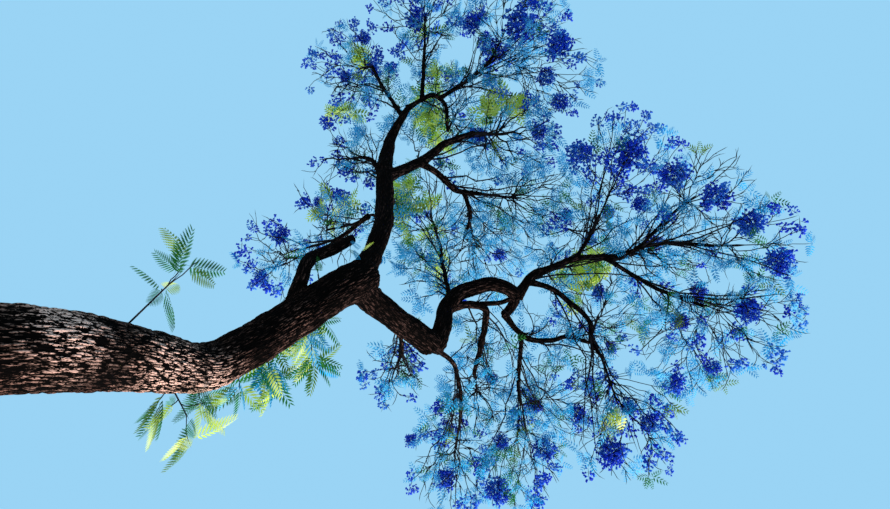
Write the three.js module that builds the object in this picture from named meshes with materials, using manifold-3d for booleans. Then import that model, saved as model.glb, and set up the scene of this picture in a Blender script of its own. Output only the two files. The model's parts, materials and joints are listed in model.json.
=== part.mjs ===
// A jacaranda tree in blossom, in millimetres, +Z up.
// The origin is the middle of the flat cut at ground level.
// A tall trunk leans and sways up to a fork at eight metres. Two bare boughs leave it, one bends back at a knee,
// and smaller limbs carry a wide, open, flat-topped crown of many masses of twigs, leaves and blossom.

import * as THREE from 'three';
import { mergeVertices } from 'three/addons/utils/BufferGeometryUtils.js';
import Module from 'manifold-3d';

const wasm = await Module();
wasm.setup();

// Driving dimensions of the limbs.
const CLEARANCE = 0.35;
const RINGS = { step: 400, fewest: 3 };
const CAPSULES = { length: 250, fewest: 2 };
const SIDES = { trunk: 16, bough: 8, limb: 5 };
const BOUGH_GIRTH = 160;
const FLARE = { height: 1100, width: 0.7, ribs: 5, ribDepth: 0.16 };
const COLLAR = { share: 0.12, width: 0.28 };
const BLUNT = { length: 0.55, width: 0.62 };
const GROUND = { size: 4000, depth: 1000 };

// The trunk: the places it passes, from just under the ground to its fork, and its girth at each of them.
const TRUNK = {
  name: 'trunk',
  blunt: true,
  girth: [720, 700, 650, 615, 580, 525, 448, 440, 447, 455, 440],
  through: [
    [10, 40, -400],
    [0, 0, 0],
    [-30, -180, 1800],
    [-50, -300, 3580],
    [70, -100, 4360],
    [190, 100, 4900],
    [320, 300, 5580],
    [210, 350, 6000],
    [-70, 400, 6640],
    [-390, 400, 7260],
    [-650, 400, 7860],
  ],
};

// Each limb: the limb it grows from and how far along that one, its girth from foot to tip, and the places it passes.
const LIMBS = [
  { name: 'stub', on: 'trunk', at: 0.835, blunt: true, girth: [175, 160, 150, 145, 120],
    through: [[-640, 660, 7020], [-760, 770, 7200], [-870, 760, 7500], [-1030, 700, 7800]] },
  { name: 'left_bough', on: 'trunk', at: 0.975, blunt: true, girth: [330, 300, 265, 240, 160, 100],
    through: [
      [-1170, 770, 8350],
      [-1750, 1350, 8950],
      [-2160, 1700, 9300],
      [-2690, 2070, 9800],
      [-3220, 2150, 10200],
    ] },
  { name: 'left_low_bough', on: 'left_bough', at: 0.5, girth: [90, 60],
    through: [[-2260, 2120, 9450], [-2340, 2530, 9600]] },
  { name: 'left_outer_bough', on: 'left_bough', at: 0.95, girth: [85, 60],
    through: [[-3430, 2610, 10250], [-3720, 2980, 10400], [-4110, 3380, 10550]] },
  { name: 'left_arch_bough', on: 'left_bough', at: 1, girth: [98, 85, 75, 62],
    through: [
      [-3390, 2120, 10450],
      [-3540, 2080, 10750],
      [-3450, 2030, 11000],
      [-3190, 2120, 11200],
      [-3050, 2200, 11350],
    ] },
  { name: 'left_high_bough', on: 'left_arch_bough', at: 0.24, girth: [85, 62],
    through: [[-4000, 2450, 10850], [-4570, 2720, 11150]] },
  { name: 'left_far_bough', on: 'left_arch_bough', at: 0.52, girth: [80, 64],
    through: [[-3920, 1820, 11300], [-4160, 1650, 11500], [-4410, 1570, 11650]] },
  { name: 'left_inner_bough', on: 'left_bough', at: 0.56, girth: [175, 150, 120, 90],
    through: [[-2320, 1470, 9900], [-2650, 1470, 10400], [-2940, 1380, 11000]] },
  { name: 'left_mid_bough', on: 'left_inner_bough', at: 0.36, girth: [125, 110, 100, 80],
    through: [[-2130, 1410, 10250], [-1950, 1340, 10600], [-1950, 1190, 11100]] },
  { name: 'centre_bough', on: 'left_mid_bough', at: 0.74, girth: [85, 64],
    through: [[-1590, 1460, 11200], [-1230, 1840, 11600]] },
  { name: 'back_bough', on: 'left_bough', at: 0.1, girth: [110, 64],
    through: [[-1030, 860, 8350], [-1210, 1490, 8650], [-1140, 2620, 9100]] },
  { name: 'back_low_bough', on: 'back_bough', at: 0.36, girth: [80, 60],
    through: [[-920, 2190, 8800], [-690, 2900, 8950]] },
  { name: 'right_bough', on: 'trunk', at: 0.955, blunt: true, girth: [330, 310, 325, 330],
    through: [[-80, 340, 8250], [200, 270, 8800], [330, 245, 8970]] },
  { name: 'right_arch_bough', on: 'right_bough', at: 0.97, blunt: true,
    girth: [265, 245, 238, 228, 220, 212, 200, 175],
    through: [
      [90, 260, 9120],
      [-160, 470, 9450],
      [-350, 500, 9700],
      [-480, 380, 9950],
      [-550, 210, 10150],
      [-500, 60, 10350],
      [-390, -40, 10500],
    ] },
  { name: 'right_curl_bough', on: 'right_arch_bough', at: 0.97, blunt: true, girth: [170, 150, 130],
    through: [[-230, 90, 10540], [-80, 220, 10500]] },
  { name: 'right_strand_bough', on: 'right_arch_bough', at: 0.36, girth: [135, 125, 115, 105, 95, 70],
    through: [
      [-240, 350, 9850],
      [-180, 230, 10050],
      [130, 350, 10250],
      [460, 530, 10450],
      [900, 810, 10750],
    ] },
  { name: 'right_top_bough', on: 'right_arch_bough', at: 0.985, girth: [150, 120, 105, 90, 80],
    through: [
      [-740, -90, 10800],
      [-820, -200, 11000],
      [-1010, -420, 11380],
      [-1080, -690, 11700],
      [-1040, -860, 11850],
    ] },
  { name: 'right_out_bough', on: 'right_top_bough', at: 0.16, girth: [100, 85, 62],
    through: [
      [-550, -290, 10950],
      [-320, -580, 11200],
      [-100, -770, 11350],
      [170, -780, 11450],
      [440, -890, 11650],
    ] },
  { name: 'top_rim_bough', on: 'right_top_bough', at: 0.88, girth: [85, 58],
    through: [[-1150, -960, 11900], [-1270, -1190, 12000], [-1380, -1640, 12100], [-1370, -2230, 12100]] },
  { name: 'top_outer_bough', on: 'top_rim_bough', at: 0.36, girth: [66, 56],
    through: [[-1640, -1400, 12200], [-1940, -1650, 12300]] },
  { name: 'top_side_bough', on: 'right_top_bough', at: 0.93, girth: [80, 60],
    through: [[-860, -1120, 11950], [-660, -1540, 12050], [-490, -2210, 12050]] },
  { name: 'top_left_bough', on: 'right_top_bough', at: 0.66, girth: [80, 62],
    through: [[-1400, -440, 11800], [-1770, -440, 12100]] },
  { name: 'right_low_bough', on: 'right_curl_bough', at: 0.9, girth: [105, 90, 66],
    through: [[220, -10, 10850], [240, -220, 11200], [190, -330, 11500], [280, -500, 12000]] },
  { name: 'near_low_bough', on: 'right_low_bough', at: 0.24, girth: [80, 62],
    through: [[600, 180, 11050], [940, 280, 11200], [1380, 330, 11450]] },
  { name: 'knee_bough', on: 'right_bough', at: 0.96, girth: [80, 56],
    through: [[530, 250, 9400], [830, 380, 9750], [1180, 550, 10100], [1640, 820, 10500]] },
  { name: 'riser_bough', on: 'right_arch_bough', at: 0.32, girth: [80, 58],
    through: [[-440, 770, 9850], [-800, 1270, 10300], [-1080, 1570, 10600]] },
  { name: 'right_link_bough', on: 'right_strand_bough', at: 0.2, girth: [90, 70],
    through: [[-300, 110, 10300]] },
  { name: 'under_bough', on: 'right_bough', at: 0.5, girth: [70, 52],
    through: [[410, 730, 8900], [600, 990, 9150]] },
];

// Each mass of foliage: the limb that carries it, the middle and radius of its space, and the share of its twigs
// that blossom. A mass grows from its limb's tip, or from the stated share of the trunk.
const MASSES = [
  { name: 'left_outer_foliage', on: 'left_outer_bough',
    middle: [-4180, 4190, 10800], radius: 1060, blossom: 0.2 },
  { name: 'left_high_foliage', on: 'left_high_bough',
    middle: [-5500, 3190, 11600], radius: 1230, blossom: 0.3 },
  { name: 'left_far_foliage_a', on: 'left_far_bough',
    middle: [-5230, 1630, 12200], radius: 1170, blossom: 0.7 },
  { name: 'left_far_foliage_b', on: 'left_far_bough',
    middle: [-4010, 680, 12000], radius: 1050, blossom: 0.8 },
  { name: 'left_low_foliage', on: 'left_low_bough',
    middle: [-2370, 3360, 10000], radius: 860, blossom: 0.3 },
  { name: 'left_arch_foliage', on: 'left_arch_bough',
    middle: [-3770, 2440, 12000], radius: 1080, blossom: 0.1 },
  { name: 'left_inner_foliage', on: 'left_inner_bough',
    middle: [-3060, 1110, 11900], radius: 1060, blossom: 0.3 },
  { name: 'left_mid_foliage', on: 'left_mid_bough',
    middle: [-1990, 960, 12300], radius: 1040, blossom: 0.1 },
  { name: 'riser_foliage', on: 'riser_bough',
    middle: [-1700, 2380, 11200], radius: 1000, blossom: 0.1 },
  { name: 'centre_foliage', on: 'centre_bough',
    middle: [-1030, 2200, 12700], radius: 1180, blossom: 0.2 },
  { name: 'back_foliage', on: 'back_bough',
    middle: [-1570, 3170, 9600], radius: 850, blossom: 0.3 },
  { name: 'back_low_foliage', on: 'back_low_bough',
    middle: [-620, 4000, 9300], radius: 850, blossom: 0.4 },
  { name: 'top_left_foliage_a', on: 'top_left_bough',
    middle: [-2680, -510, 12600], radius: 1020, blossom: 0.8 },
  { name: 'top_left_foliage_b', on: 'top_left_bough',
    middle: [-1700, 520, 13100], radius: 1060, blossom: 0.1 },
  { name: 'right_top_foliage', on: 'right_top_bough',
    middle: [-1370, -1210, 12950], radius: 1000, blossom: 0.2 },
  { name: 'top_outer_foliage', on: 'top_outer_bough',
    middle: [-2180, -1960, 12300], radius: 930, blossom: 0.7 },
  { name: 'top_rim_foliage', on: 'top_rim_bough',
    middle: [-1400, -2820, 12000], radius: 820, blossom: 0.8 },
  { name: 'top_side_foliage_a', on: 'top_side_bough',
    middle: [-370, -2850, 11950], radius: 840, blossom: 0.8 },
  { name: 'top_side_foliage_b', on: 'top_side_bough',
    middle: [130, -1950, 12450], radius: 950, blossom: 0.6 },
  { name: 'right_low_foliage', on: 'right_low_bough',
    middle: [-280, -210, 12950], radius: 1080, blossom: 0.2 },
  { name: 'right_out_foliage', on: 'right_out_bough',
    middle: [1460, -1250, 11900], radius: 1020, blossom: 0.8 },
  { name: 'near_low_foliage_a', on: 'near_low_bough',
    middle: [1220, 70, 12500], radius: 1040, blossom: 0.5 },
  { name: 'near_low_foliage_b', on: 'near_low_bough',
    middle: [2400, 640, 11900], radius: 1040, blossom: 0.7 },
  { name: 'knee_foliage', on: 'knee_bough',
    middle: [2510, 1330, 11100], radius: 930, blossom: 0.6 },
  { name: 'strand_foliage', on: 'right_strand_bough',
    middle: [1510, 1320, 11700], radius: 960, blossom: 0.2 },
  { name: 'under_foliage', on: 'under_bough',
    middle: [940, 1560, 9700], radius: 640, blossom: 0.4 },
  { name: 'fork_shoot', on: 'trunk', at: 0.88,
    middle: [480, 1400, 7900], radius: 620, blossom: 0.2 },
  { name: 'left_shoot', on: 'trunk', at: 0.555,
    middle: [-600, -30, 5060], radius: 520, blossom: 0 },
  { name: 'right_shoot', on: 'trunk', at: 0.64,
    middle: [760, 150, 5360], radius: 500, blossom: 0 },
  { name: 'high_shoot', on: 'trunk', at: 0.77,
    middle: [580, 640, 6570], radius: 400, blossom: 0 },
];

// A mass starts from its stem. Two masses that share a tip have thinner stems, side by side.
const STEM = { reach: 0.8, alone: 0.85, shared: 0.42, apart: 0.5, onTrunk: 24 };

// How a mass branches: its space is lower than it is wide, its twig ends are spread evenly over the ball that its
// leaves leave free, and each twig joins the older one from which it is cheapest to grow, a little before the
// nearest place on it.
const GROWTH = {
  flatten: 0.78,
  twigStep: 240,
  fewestTwigs: 3,
  reach: 0.5,
  drawIn: [1, 0.75, 0.5, 0.25],
  pathCost: 0.4,
  lag: 0.55,
  firstJoint: 0.3,
  lastJoint: 0.8,
};
const TWIG = { sides: 3, radius: 12, taper: 0.6, clear: 30 };
const LEAF = { share: 0.66, width: 0.58, thickness: 0.034, tilt: 0.35, sizes: [1, 0.85, 0.7, 0.55] };
const FAN = [{ before: 20, turn: 0.1 }, { before: 100, turn: 1.15 }, { before: 170, turn: -1.1 }];
const BLOSSOM = { share: 0.42, radius: 0.22, sunk: 45, lift: 0.9, side: [0.6, 0.8, 0] };
const SPACE_MARGIN = 12;

// The angle between two neighbours on an evenly covered ball, in radians, and the turn from one mass to the next.
const GOLDEN_ANGLE = Math.PI * (3 - Math.sqrt(5));
const SEED_TURN = 1.7;

// A repeatable share from 0 to 1 for the numbered twig of a mass.
const CHANCE = { first: 0.5, bySeed: 0.6180339887, byNumber: 0.7548776662 };
const chance = (seed, number) => (CHANCE.first + seed * CHANCE.bySeed + (number + 1) * CHANCE.byNumber) % 1;

// Corners nearer than this are one, a line steeper than this is upright, and a line is measured in this many steps.
const SAME_PLACE = 1e-3;
const UPRIGHT = 0.9;
const LINE_STEPS = 8;

const BARK = new THREE.Color(0x4a3a30);
const LEAF_GREEN = new THREE.Color(0x5f8a32);
const BLOSSOM_BLUE = new THREE.Color(0x5a55c8);
const bark = () => new THREE.MeshStandardMaterial({ color: BARK, roughness: 0.95, metalness: 0 });

function foliage(blossom) {
  const color = LEAF_GREEN.clone().lerp(BLOSSOM_BLUE, blossom);
  return new THREE.MeshStandardMaterial({ color, roughness: 0.8, metalness: 0 });
}

const vector = (place) => new THREE.Vector3(...place);

// A closed geometry as a solid that can be joined and cut.
function solid(geometry) {
  const bare = geometry.clone();
  bare.deleteAttribute('normal');
  bare.deleteAttribute('uv');
  const merged = mergeVertices(bare, SAME_PLACE);
  const vertProperties = merged.attributes.position.array;
  const triVerts = new Uint32Array(merged.index.array);
  return new wasm.Manifold(new wasm.Mesh({ numProp: 3, vertProperties, triVerts }));
}

// The largest body of a solid as a named mesh.
function mesh(name, body, material) {
  const largest = body.decompose().reduce((a, b) => (b.volume() > a.volume() ? b : a));
  const { vertProperties, triVerts } = largest.getMesh();
  const geometry = new THREE.BufferGeometry();
  geometry.setAttribute('position', new THREE.BufferAttribute(vertProperties, 3));
  geometry.setIndex(new THREE.BufferAttribute(triVerts, 1));
  const piece = new THREE.Mesh(geometry, material);
  piece.name = name;
  return piece;
}

// A number read off a list of values that are evenly spread from share 0 to share 1.
function along(values, at) {
  const whole = Math.min(Math.floor(at * (values.length - 1)), values.length - 2);
  return THREE.MathUtils.lerp(values[whole], values[whole + 1], at * (values.length - 1) - whole);
}

// A closed tapering tube: a regular prism bent along the curve, ring by ring, with a radius for each ring and
// angle. Its two ends are moved out by the margin.
function taperedTube(curve, ringShares, sides, radiusAt, margin = 0) {
  const rings = ringShares.length - 1;
  const corners = Array.from({ length: sides }, (_, corner) => {
    const angle = (2 * Math.PI * corner) / sides;
    return new THREE.Vector2(Math.cos(angle), Math.sin(angle));
  });
  const section = new THREE.Shape(corners);
  const prism = new THREE.ExtrudeGeometry(section, { depth: 1, steps: rings, bevelEnabled: false });
  let normal = vector(Math.abs(curve.getTangentAt(0).z) > UPRIGHT ? [1, 0, 0] : [0, 0, 1]);
  const frames = ringShares.map((at) => {
    const tangent = curve.getTangentAt(at);
    normal = normal.clone().addScaledVector(tangent, -normal.dot(tangent)).normalize();
    const out = margin * (Number(at === ringShares.at(-1)) - Number(at === 0));
    const centre = curve.getPointAt(at).addScaledVector(tangent, out);
    return { centre, normal, side: tangent.clone().cross(normal) };
  });
  const position = prism.attributes.position;
  for (let i = 0; i < position.count; i++) {
    const [x, y] = [position.getX(i), position.getY(i)];
    const ring = Math.round(position.getZ(i) * rings);
    const { centre, normal: up, side } = frames[ring];
    const radius = radiusAt(ringShares[ring], Math.atan2(y, x), centre);
    const place = centre.clone().addScaledVector(up, radius * x).addScaledVector(side, radius * y);
    position.setXYZ(i, place.x, place.y, place.z);
  }
  return solid(prism);
}

// How much wider the trunk is near the ground, where it spreads into its ribs.
function flare(height, angle) {
  const rise = Math.max(0, 1 - Math.max(height, 0) / FLARE.height) ** 2;
  return 1 + rise * (FLARE.width + FLARE.ribDepth * Math.cos(FLARE.ribs * angle));
}

// A limb with its curve, its radius at any share of its length, and its outline as a solid.
class Limb {
  constructor(row, parent) {
    this.name = row.name;
    this.parent = parent;
    this.girth = row.girth;
    this.blunt = Boolean(row.blunt);
    const foot = parent ? [parent.curve.getPointAt(row.at)] : [];
    this.curve = new THREE.CatmullRomCurve3([...foot, ...row.through.map(vector)]);
    this.length = this.curve.getLength();
  }

  get tip() {
    return this.curve.getPointAt(1);
  }

  get heading() {
    return this.curve.getTangentAt(1);
  }

  get sides() {
    if (!this.parent) return SIDES.trunk;
    return Math.max(...this.girth) > BOUGH_GIRTH ? SIDES.bough : SIDES.limb;
  }

  // The radius at a share of the length. A limb that grows from another has a collar at its foot.
  radiusAt(at) {
    const collar = this.parent ? COLLAR.width * Math.max(0, 1 - at / COLLAR.share) : 0;
    return (along(this.girth, this.curve.getUtoTmapping(at)) / 2) * (1 + collar);
  }

  // The limb's outline as a solid, with its whole surface moved out by a margin.
  outline(margin = 0) {
    const rings = Math.max(RINGS.fewest, Math.round(this.length / RINGS.step));
    const last = 1 - (this.blunt ? (BLUNT.length * this.radiusAt(1)) / this.length : 0);
    const shares = Array.from({ length: rings + 1 }, (_, ring) => (last * ring) / rings);
    if (this.blunt) shares.push(1);
    const radiusAt = (at, angle, centre) => {
      const width = (at > last ? BLUNT.width : 1) * (this.parent ? 1 : flare(centre.z, angle));
      return this.radiusAt(at) * width + margin;
    };
    return taperedTube(this.curve, shares, this.sides, radiusAt, margin);
  }

  // The limb as short straight capsules, which leaves and twigs keep clear of.
  capsules() {
    const pieces = Math.max(CAPSULES.fewest, Math.round(this.length / CAPSULES.length));
    return Array.from({ length: pieces }, (_, piece) => {
      const [from, to] = [piece / pieces, (piece + 1) / pieces];
      const radius = Math.max(this.radiusAt(from), this.radiusAt(to));
      return { line: new THREE.Line3(this.curve.getPointAt(from), this.curve.getPointAt(to)), radius };
    });
  }
}

const limbs = new Map();
for (const row of [TRUNK, ...LIMBS]) limbs.set(row.name, new Limb(row, limbs.get(row.on)));
const grownOn = (parent) => [...limbs.values()].filter((limb) => limb.parent === parent);

// A limb's solid. The trunk ends at the ground, and any other limb is cut clear of the one that it grows from, and
// of the older limbs on that one.
function limbSolid(limb) {
  if (!limb.parent) {
    const ground = new THREE.BoxGeometry(GROUND.size, GROUND.size, GROUND.depth);
    return limb.outline().subtract(solid(ground.translate(0, 0, -GROUND.depth / 2)));
  }
  const siblings = grownOn(limb.parent);
  const older = [limb.parent, ...siblings.slice(0, siblings.indexOf(limb))];
  return older.reduce((body, other) => body.subtract(other.outline(CLEARANCE)), limb.outline());
}

// The shortest distance between two straight lines that end.
function lineGap(one, other) {
  const nearest = new THREE.Vector3();
  const point = new THREE.Vector3();
  let gap = Infinity;
  for (let step = 0; step <= LINE_STEPS; step++) {
    one.at(step / LINE_STEPS, point);
    gap = Math.min(gap, point.distanceTo(other.closestPointToPoint(point, true, nearest)));
  }
  return gap;
}

// A mass of foliage: its own space, its stem and the share of its twigs that blossom.
class Mass {
  constructor(row, seed, limb) {
    Object.assign(this, { name: row.name, seed, limb, radius: row.radius, blossom: row.blossom });
    this.middle = vector(row.middle);
    this.onTrunk = row.at !== undefined;
    this.start = this.onTrunk ? limb.curve.getPointAt(row.at) : limb.tip;
    this.sideways = new THREE.Vector3();
    this.twigCount = Math.max(GROWTH.fewestTwigs, Math.round(row.radius / GROWTH.twigStep));
  }

  // Two masses that share a tip start from either side of it.
  shareTipWith(other) {
    const { heading } = this.limb;
    const apart = this.middle.clone().sub(other.middle);
    apart.addScaledVector(heading, -apart.dot(heading));
    this.sideways = apart.setLength(this.limb.radiusAt(1) * STEM.apart);
  }

  get stemRadius() {
    if (this.onTrunk) return STEM.onTrunk;
    return this.limb.radiusAt(1) * (this.sideways.length() > 0 ? STEM.shared : STEM.alone);
  }

  // The stem: from inside the tip of the bough, along its heading, and on into the space.
  get stem() {
    const outside = this.start.clone().add(this.sideways);
    const end = outside.clone().lerp(this.middle, this.onTrunk ? 1 : STEM.reach);
    if (this.onTrunk) return new THREE.Line3(outside, end);
    return new THREE.Line3(outside.addScaledVector(this.limb.heading, -this.stemRadius), end);
  }

  // How far a place is inside the mass's ball, with the height stretched so that the ball is round.
  power(place) {
    const rise = (place.z - this.middle.z) / GROWTH.flatten;
    return (place.x - this.middle.x) ** 2 + (place.y - this.middle.y) ** 2 + rise ** 2 - this.radius ** 2;
  }

  // Whether a place is in this mass's own space: inside its ball, and nearer to it than to any other mass.
  holds(place, others) {
    const own = this.power(place);
    if (own > 0) return false;
    return others.every((other) => {
      const between = 2 * this.middle.distanceTo(other.middle);
      return own + SPACE_MARGIN * between < other.power(place);
    });
  }
}

// Where the numbered twig of a mass ends, drawn in towards the middle until it is in the space.
function twigEnd(mass, number, clearOf) {
  const level = 1 - (2 * number + 1) / mass.twigCount;
  const turn = GOLDEN_ANGLE * number + SEED_TURN * mass.seed;
  const ring = Math.sqrt(1 - level * level);
  const direction = new THREE.Vector3(ring * Math.cos(turn), ring * Math.sin(turn), level * GROWTH.flatten);
  const ends = GROWTH.drawIn.map((share) =>
    mass.middle.clone().addScaledVector(direction, share * GROWTH.reach * mass.radius),
  );
  return ends.find((end) => clearOf(end, end, TWIG.clear));
}

// The best place from which a new twig to this end can leave an older twig.
function joint(older, end) {
  const { line } = older;
  const gap = line.closestPointToPoint(end, true, new THREE.Vector3()).distanceTo(end);
  const nearest = line.closestPointToPointParameter(end, true);
  const before = nearest - (GROWTH.lag * gap) / line.distance();
  const at = THREE.MathUtils.clamp(before, GROWTH.firstJoint, GROWTH.lastJoint);
  const place = line.at(at, new THREE.Vector3());
  const path = older.path + at * line.distance();
  return { older, at, place, path, cost: place.distanceTo(end) + GROWTH.pathCost * path };
}

// The twigs of a mass, oldest first: each has its straight line, its radius at both ends and its way from the foot.
function branch(mass, clearOf) {
  const numbers = Array.from({ length: mass.twigCount }, (_, number) => number);
  const ends = numbers.map((number) => twigEnd(mass, number, clearOf)).filter(Boolean);
  const { stem, stemRadius } = mass;
  const twigs = [{ line: stem, thick: stemRadius, thin: stemRadius * TWIG.taper, path: 0 }];
  ends.sort((a, b) => a.distanceTo(stem.end) - b.distanceTo(stem.end));
  for (const end of ends) {
    const free = twigs.map((older) => joint(older, end)).filter(({ place }) => clearOf(place, end, TWIG.clear));
    if (free.length === 0) continue;
    const { older, at, place, path } = free.reduce((best, other) => (other.cost < best.cost ? other : best));
    const thick = Math.max(TWIG.radius, TWIG.taper * THREE.MathUtils.lerp(older.thick, older.thin, at));
    twigs.push({ line: new THREE.Line3(place, end), thick, thin: TWIG.radius, path, number: twigs.length });
  }
  return twigs;
}

// A straight three-sided twig that tapers from one radius to another.
function twig({ line, thick, thin }) {
  const curve = new THREE.LineCurve3(line.start, line.end);
  return taperedTube(curve, [0, 1], TWIG.sides, (at) => THREE.MathUtils.lerp(thick, thin, at));
}

// A turn that points +X along a heading and leans +Z towards an up direction.
function facing(heading, up) {
  const side = up.clone().cross(heading).normalize();
  return new THREE.Matrix4().makeBasis(heading, side, heading.clone().cross(side));
}

// A leaf spray: a flat eight-faced lozenge whose root is in the middle of its twig.
function leaf(root, heading, up, length) {
  const blade = new THREE.OctahedronGeometry(length / 2);
  blade.scale(1, LEAF.width, LEAF.thickness);
  blade.translate(length / 2, 0, 0);
  blade.applyMatrix4(facing(heading, up).setPosition(root));
  return blade;
}

// A blossom spray: a four-sided spindle that stands on the end of its twig.
function blossom(root, heading, length) {
  const spindle = new THREE.OctahedronGeometry(length / 2);
  spindle.scale(1, 2 * BLOSSOM.radius, 2 * BLOSSOM.radius);
  spindle.translate(length / 2 - BLOSSOM.sunk, 0, 0);
  spindle.applyMatrix4(facing(heading, vector(BLOSSOM.side)).setPosition(root));
  return spindle;
}

// Whether every corner of a shape is in the space, and its middle line is clear of the limbs.
function fits(shape, root, heading, length, halfWidth, mass, others, clearOf) {
  const position = shape.attributes.position;
  for (let i = 0; i < position.count; i++) {
    if (!mass.holds(new THREE.Vector3().fromBufferAttribute(position, i), others)) return false;
  }
  return clearOf(root, root.clone().addScaledVector(heading, length), halfWidth);
}

// The sprays at the end of one twig: leaves that fan out to both sides, and blossom on the share of ends with it.
function sprays(mass, tip, others, clearOf) {
  const { line, number } = tip;
  const ahead = line.delta(new THREE.Vector3()).normalize();
  const lean = LEAF.tilt * (2 * chance(mass.seed, number) - 1);
  const up = new THREE.Vector3(lean, -lean, 1).addScaledVector(ahead, -ahead.z).normalize();
  const shapes = [];
  for (const { before, turn } of FAN) {
    const heading = ahead.clone().applyAxisAngle(up, turn);
    const root = line.end.clone().addScaledVector(ahead, -before);
    const blades = LEAF.sizes.map((size) => {
      const length = size * LEAF.share * mass.radius;
      const blade = leaf(root, heading, up, length);
      return fits(blade, root, heading, length, (LEAF.width * length) / 2, mass, others, clearOf) && blade;
    });
    const largest = blades.find(Boolean);
    if (largest) shapes.push(largest);
  }
  if (chance(mass.seed, number + mass.twigCount) < mass.blossom) {
    const heading = ahead.clone().add(vector([0, 0, BLOSSOM.lift])).normalize();
    const length = BLOSSOM.share * mass.radius;
    const spindle = blossom(line.end, heading, length);
    const free = fits(spindle, line.end, heading, length, BLOSSOM.radius * length, mass, others, clearOf);
    if (free) shapes.push(spindle);
  }
  return shapes;
}

// A mass of foliage as one solid: its stem and twigs with their leaves and blossom fused on, cut clear of its limb.
function massSolid(mass, others, obstacles) {
  const near = obstacles.filter((capsule) => capsule.owner !== mass);
  const limbsClear = (from, to, margin) => {
    const line = new THREE.Line3(from, to);
    return near.every((capsule) => lineGap(line, capsule.line) > capsule.radius + margin);
  };
  const inSpace = (...places) => places.every((place) => mass.holds(place, others));
  const clearOf = (from, to, margin) => inSpace(from, to) && limbsClear(from, to, margin);
  const pieces = [];
  for (const grown of branch(mass, clearOf)) {
    pieces.push(twig(grown));
    if (grown.number === undefined) continue;
    for (const spray of sprays(mass, grown, others, limbsClear)) pieces.push(solid(spray));
  }
  const fused = pieces.reduce((body, piece) => body.add(piece));
  const carriers = [mass.limb, ...grownOn(mass.limb)];
  return carriers.reduce((body, limb) => body.subtract(limb.outline(CLEARANCE)), fused);
}

// The masses, with the stems of their neighbours and all the limbs as what they keep clear of.
const masses = MASSES.map((row, seed) => new Mass(row, seed, limbs.get(row.on)));
for (const mass of masses) {
  const partner = masses.find((other) => other !== mass && other.limb === mass.limb && !mass.onTrunk);
  if (partner) mass.shareTipWith(partner);
}
const obstacles = [
  ...[...limbs.values()].flatMap((limb) => limb.capsules()),
  ...masses.map((mass) => ({ line: mass.stem, radius: mass.stemRadius, owner: mass })),
];

const group = new THREE.Group();
for (const limb of limbs.values()) group.add(mesh(limb.name, limbSolid(limb), bark()));
for (const mass of masses) {
  const others = masses.filter((other) => other !== mass);
  group.add(mesh(mass.name, massSolid(mass, others, obstacles), foliage(mass.blossom)));
}

export default group;
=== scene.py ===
import json
import logging
import math
from collections.abc import Callable, Sequence
from dataclasses import dataclass, field
from enum import Enum

import bmesh
import bpy
import numpy as np
from mathutils import Matrix, Vector, noise

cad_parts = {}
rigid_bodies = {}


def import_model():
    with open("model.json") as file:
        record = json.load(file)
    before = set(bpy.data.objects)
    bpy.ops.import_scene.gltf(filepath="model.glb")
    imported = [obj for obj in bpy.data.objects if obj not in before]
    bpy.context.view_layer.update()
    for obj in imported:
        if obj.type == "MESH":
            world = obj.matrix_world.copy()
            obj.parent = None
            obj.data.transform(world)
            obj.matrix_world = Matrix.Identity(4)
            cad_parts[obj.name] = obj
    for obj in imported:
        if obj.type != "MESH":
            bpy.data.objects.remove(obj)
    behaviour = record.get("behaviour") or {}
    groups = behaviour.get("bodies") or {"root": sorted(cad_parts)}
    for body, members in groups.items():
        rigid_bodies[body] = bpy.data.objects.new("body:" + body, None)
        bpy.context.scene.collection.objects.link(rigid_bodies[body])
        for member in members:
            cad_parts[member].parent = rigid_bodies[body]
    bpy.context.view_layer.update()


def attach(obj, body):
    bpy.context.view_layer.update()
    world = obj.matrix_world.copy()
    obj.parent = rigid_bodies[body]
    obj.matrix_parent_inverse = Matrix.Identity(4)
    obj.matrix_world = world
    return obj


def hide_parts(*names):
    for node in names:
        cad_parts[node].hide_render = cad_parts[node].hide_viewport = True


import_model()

LOG = logging.getLogger("jacaranda")

Place = tuple[float, float, float]
Colour = tuple[float, float, float]
Span = tuple[float, float]
Array = np.ndarray
Random = np.random.Generator
Capsules = tuple[Array, Array, Array]
Socket = bpy.types.NodeSocket
Input = Socket | float | tuple
UP = np.array([0.0, 0.0, 1.0])
NEARLY_UP = UP + 0.01
GOLDEN_ANGLE = math.pi * (3 - math.sqrt(5))
NOISE_SEED = 5
TINY = 1e-12
SEED_STEP = 0.6180339887
NUMBER_STEP = 0.7548776662


@dataclass(frozen=True)
class LimbPlan:
    """One limb: what it grows from and how far along, its girths, and the places it passes, foot first."""

    name: str
    on: str | None
    at: float
    girth: tuple[float, ...]
    through: tuple[Place, ...]
    blunt: bool = False


@dataclass(frozen=True)
class MassPlan:
    """A mass of foliage.

    It has its limb, the middle and the radius of its space, how much of it is in blossom and in leaf, how far
    along the limb it starts where it doesn't start at the tip, and how full its finer twigs are.
    """

    name: str
    on: str
    middle: Place
    radius: float
    blossom: float
    leaf: float
    at: float | None = None
    full: float = 1.0


TRUNK = LimbPlan("trunk", None, 0, (0.72, 0.7, 0.65, 0.615, 0.58, 0.525, 0.448, 0.44, 0.447, 0.455, 0.44), (
    (0.01, 0.04, -0.4), (0, 0, 0), (-0.03, -0.18, 1.8), (-0.05, -0.3, 3.58), (0.07, -0.1, 4.36),
    (0.19, 0.1, 4.9), (0.32, 0.3, 5.58), (0.21, 0.35, 6), (-0.07, 0.4, 6.64), (-0.39, 0.4, 7.26),
    (-0.65, 0.4, 7.86)), blunt=True)

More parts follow.
